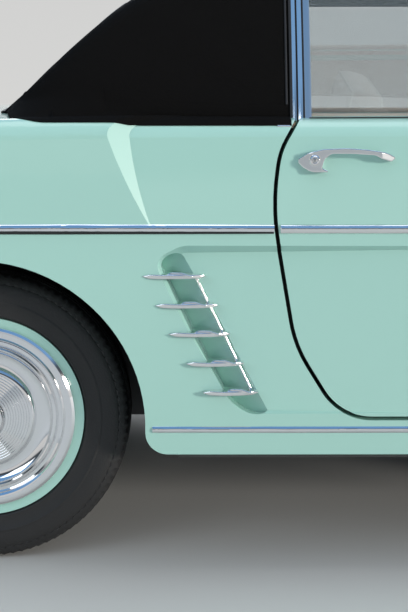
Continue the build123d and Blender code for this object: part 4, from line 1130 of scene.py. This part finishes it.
def soft_light(name, place, aim, size, power, colour=(1, 1, 1)):
    """A rectangular lamp at a place, turned to the point it lights."""
    light = bpy.data.lights.new(name, "AREA")
    light.shape = "RECTANGLE"
    light.size, light.size_y = size
    light.energy = power
    light.color = colour
    lamp = bpy.data.objects.new(name, light)
    lamp.location = place
    lamp.rotation_euler = (Vector(aim) - Vector(place)).to_track_quat("-Z", "Y").to_euler()
    link(lamp)


SUN_FROM, SUN_POWER, SUN_WIDTH = Vector((0.82, -0.54, 0.18)), 2.2, math.radians(7)
low_sun = bpy.data.lights.new("key", "SUN")
low_sun.energy = SUN_POWER
low_sun.angle = SUN_WIDTH
low_sun.color = (1.0, 0.94, 0.86)
key = bpy.data.objects.new("key", low_sun)
key.rotation_euler = SUN_FROM.to_track_quat("Z", "Y").to_euler()
link(key)
soft_light("fill", (-4.5, -4.5, 3.0), (0, 0, 0.5), (3.0, 2.0), 40, (0.9, 0.96, 1.0))
soft_light("back", (0, 5.0, 3.5), (0, 0, 0.6), (5.0, 2.0), 80)
soft_light("top", (0, 0, 5.0), (0, 0, 0), (5.0, 3.0), 60)
print("lights", len(bpy.data.lights))

# %% [markdown]
# The world lights the car as a soft dome. Bright metal, glass and the camera see
# another one, which Light Path picks out: pale at the horizon, then a dark band,
# and blue overhead, so that chrome has something to mirror.

# %% Dome and backdrop
def sky(tree, stops, strength):
    """A background whose colour follows height, from (height, colour) stops."""
    place = tree.nodes.new("ShaderNodeTexCoord")
    parts = tree.nodes.new("ShaderNodeSeparateXYZ")
    ramp = tree.nodes.new("ShaderNodeValToRGB")
    shade = tree.nodes.new("ShaderNodeBackground")
    marks = ramp.color_ramp.elements
    while len(marks) < len(stops):
        marks.new(0.5)
    for mark, (height, colour) in zip(marks, stops):
        mark.position = height
        mark.color = (*colour, 1)
    shade.inputs["Strength"].default_value = strength
    tree.links.new(place.outputs["Generated"], parts.inputs["Vector"])
    tree.links.new(parts.outputs["Z"], ramp.inputs["Fac"])
    tree.links.new(ramp.outputs["Color"], shade.inputs["Color"])
    return shade


world = bpy.data.worlds.new("studio")
world.use_nodes = True
tree = world.node_tree
tree.nodes.remove(tree.nodes["Background"])
soft = sky(tree, [(0.0, (0.40, 0.44, 0.46)), (0.8, (0.80, 0.90, 1.0))], 0.75)
seen = sky(tree, [
    (0.00, (0.66, 0.66, 0.65)), (0.17, (0.62, 0.62, 0.62)), (0.24, (0.05, 0.06, 0.07)),
    (0.38, (0.07, 0.09, 0.11)), (0.50, (0.20, 0.38, 0.64)), (1.00, (0.13, 0.30, 0.58)),
], 1.0)
path = tree.nodes.new("ShaderNodeLightPath")
mix = tree.nodes.new("ShaderNodeMixShader")
share = path.outputs["Is Camera Ray"]
for ray in ("Is Glossy Ray", "Is Transmission Ray"):
    either = tree.nodes.new("ShaderNodeMath")
    either.operation = "MAXIMUM"
    tree.links.new(share, either.inputs[0])
    tree.links.new(path.outputs[ray], either.inputs[1])
    share = either.outputs["Value"]
tree.links.new(share, mix.inputs["Fac"])
tree.links.new(soft.outputs["Background"], mix.inputs[1])
tree.links.new(seen.outputs["Background"], mix.inputs[2])
tree.links.new(mix.outputs["Shader"], tree.nodes["World Output"].inputs["Surface"])
scene = bpy.context.scene
scene.world = world
scene.view_settings.view_transform = "Standard"
print("world nodes", len(tree.nodes))

# %% [markdown]
# The camera stands where the photograph was taken from, on the car's right, with
# its lens shifted down.

# %% Camera
TIPPED_DOWN = math.radians(4.5)
lens = bpy.data.cameras.new("photo_camera")
lens.sensor_width = 36
lens.lens = 78.3
lens.shift_y = -0.173
lens.clip_end = 400
camera = bpy.data.objects.new("photo_camera", lens)
camera.location = (-0.587, -3.375, 0.960)
camera.rotation_euler = (math.pi / 2 - TIPPED_DOWN, 0, 0)
link(camera)
scene.camera = camera
print("camera at", tuple(camera.location))
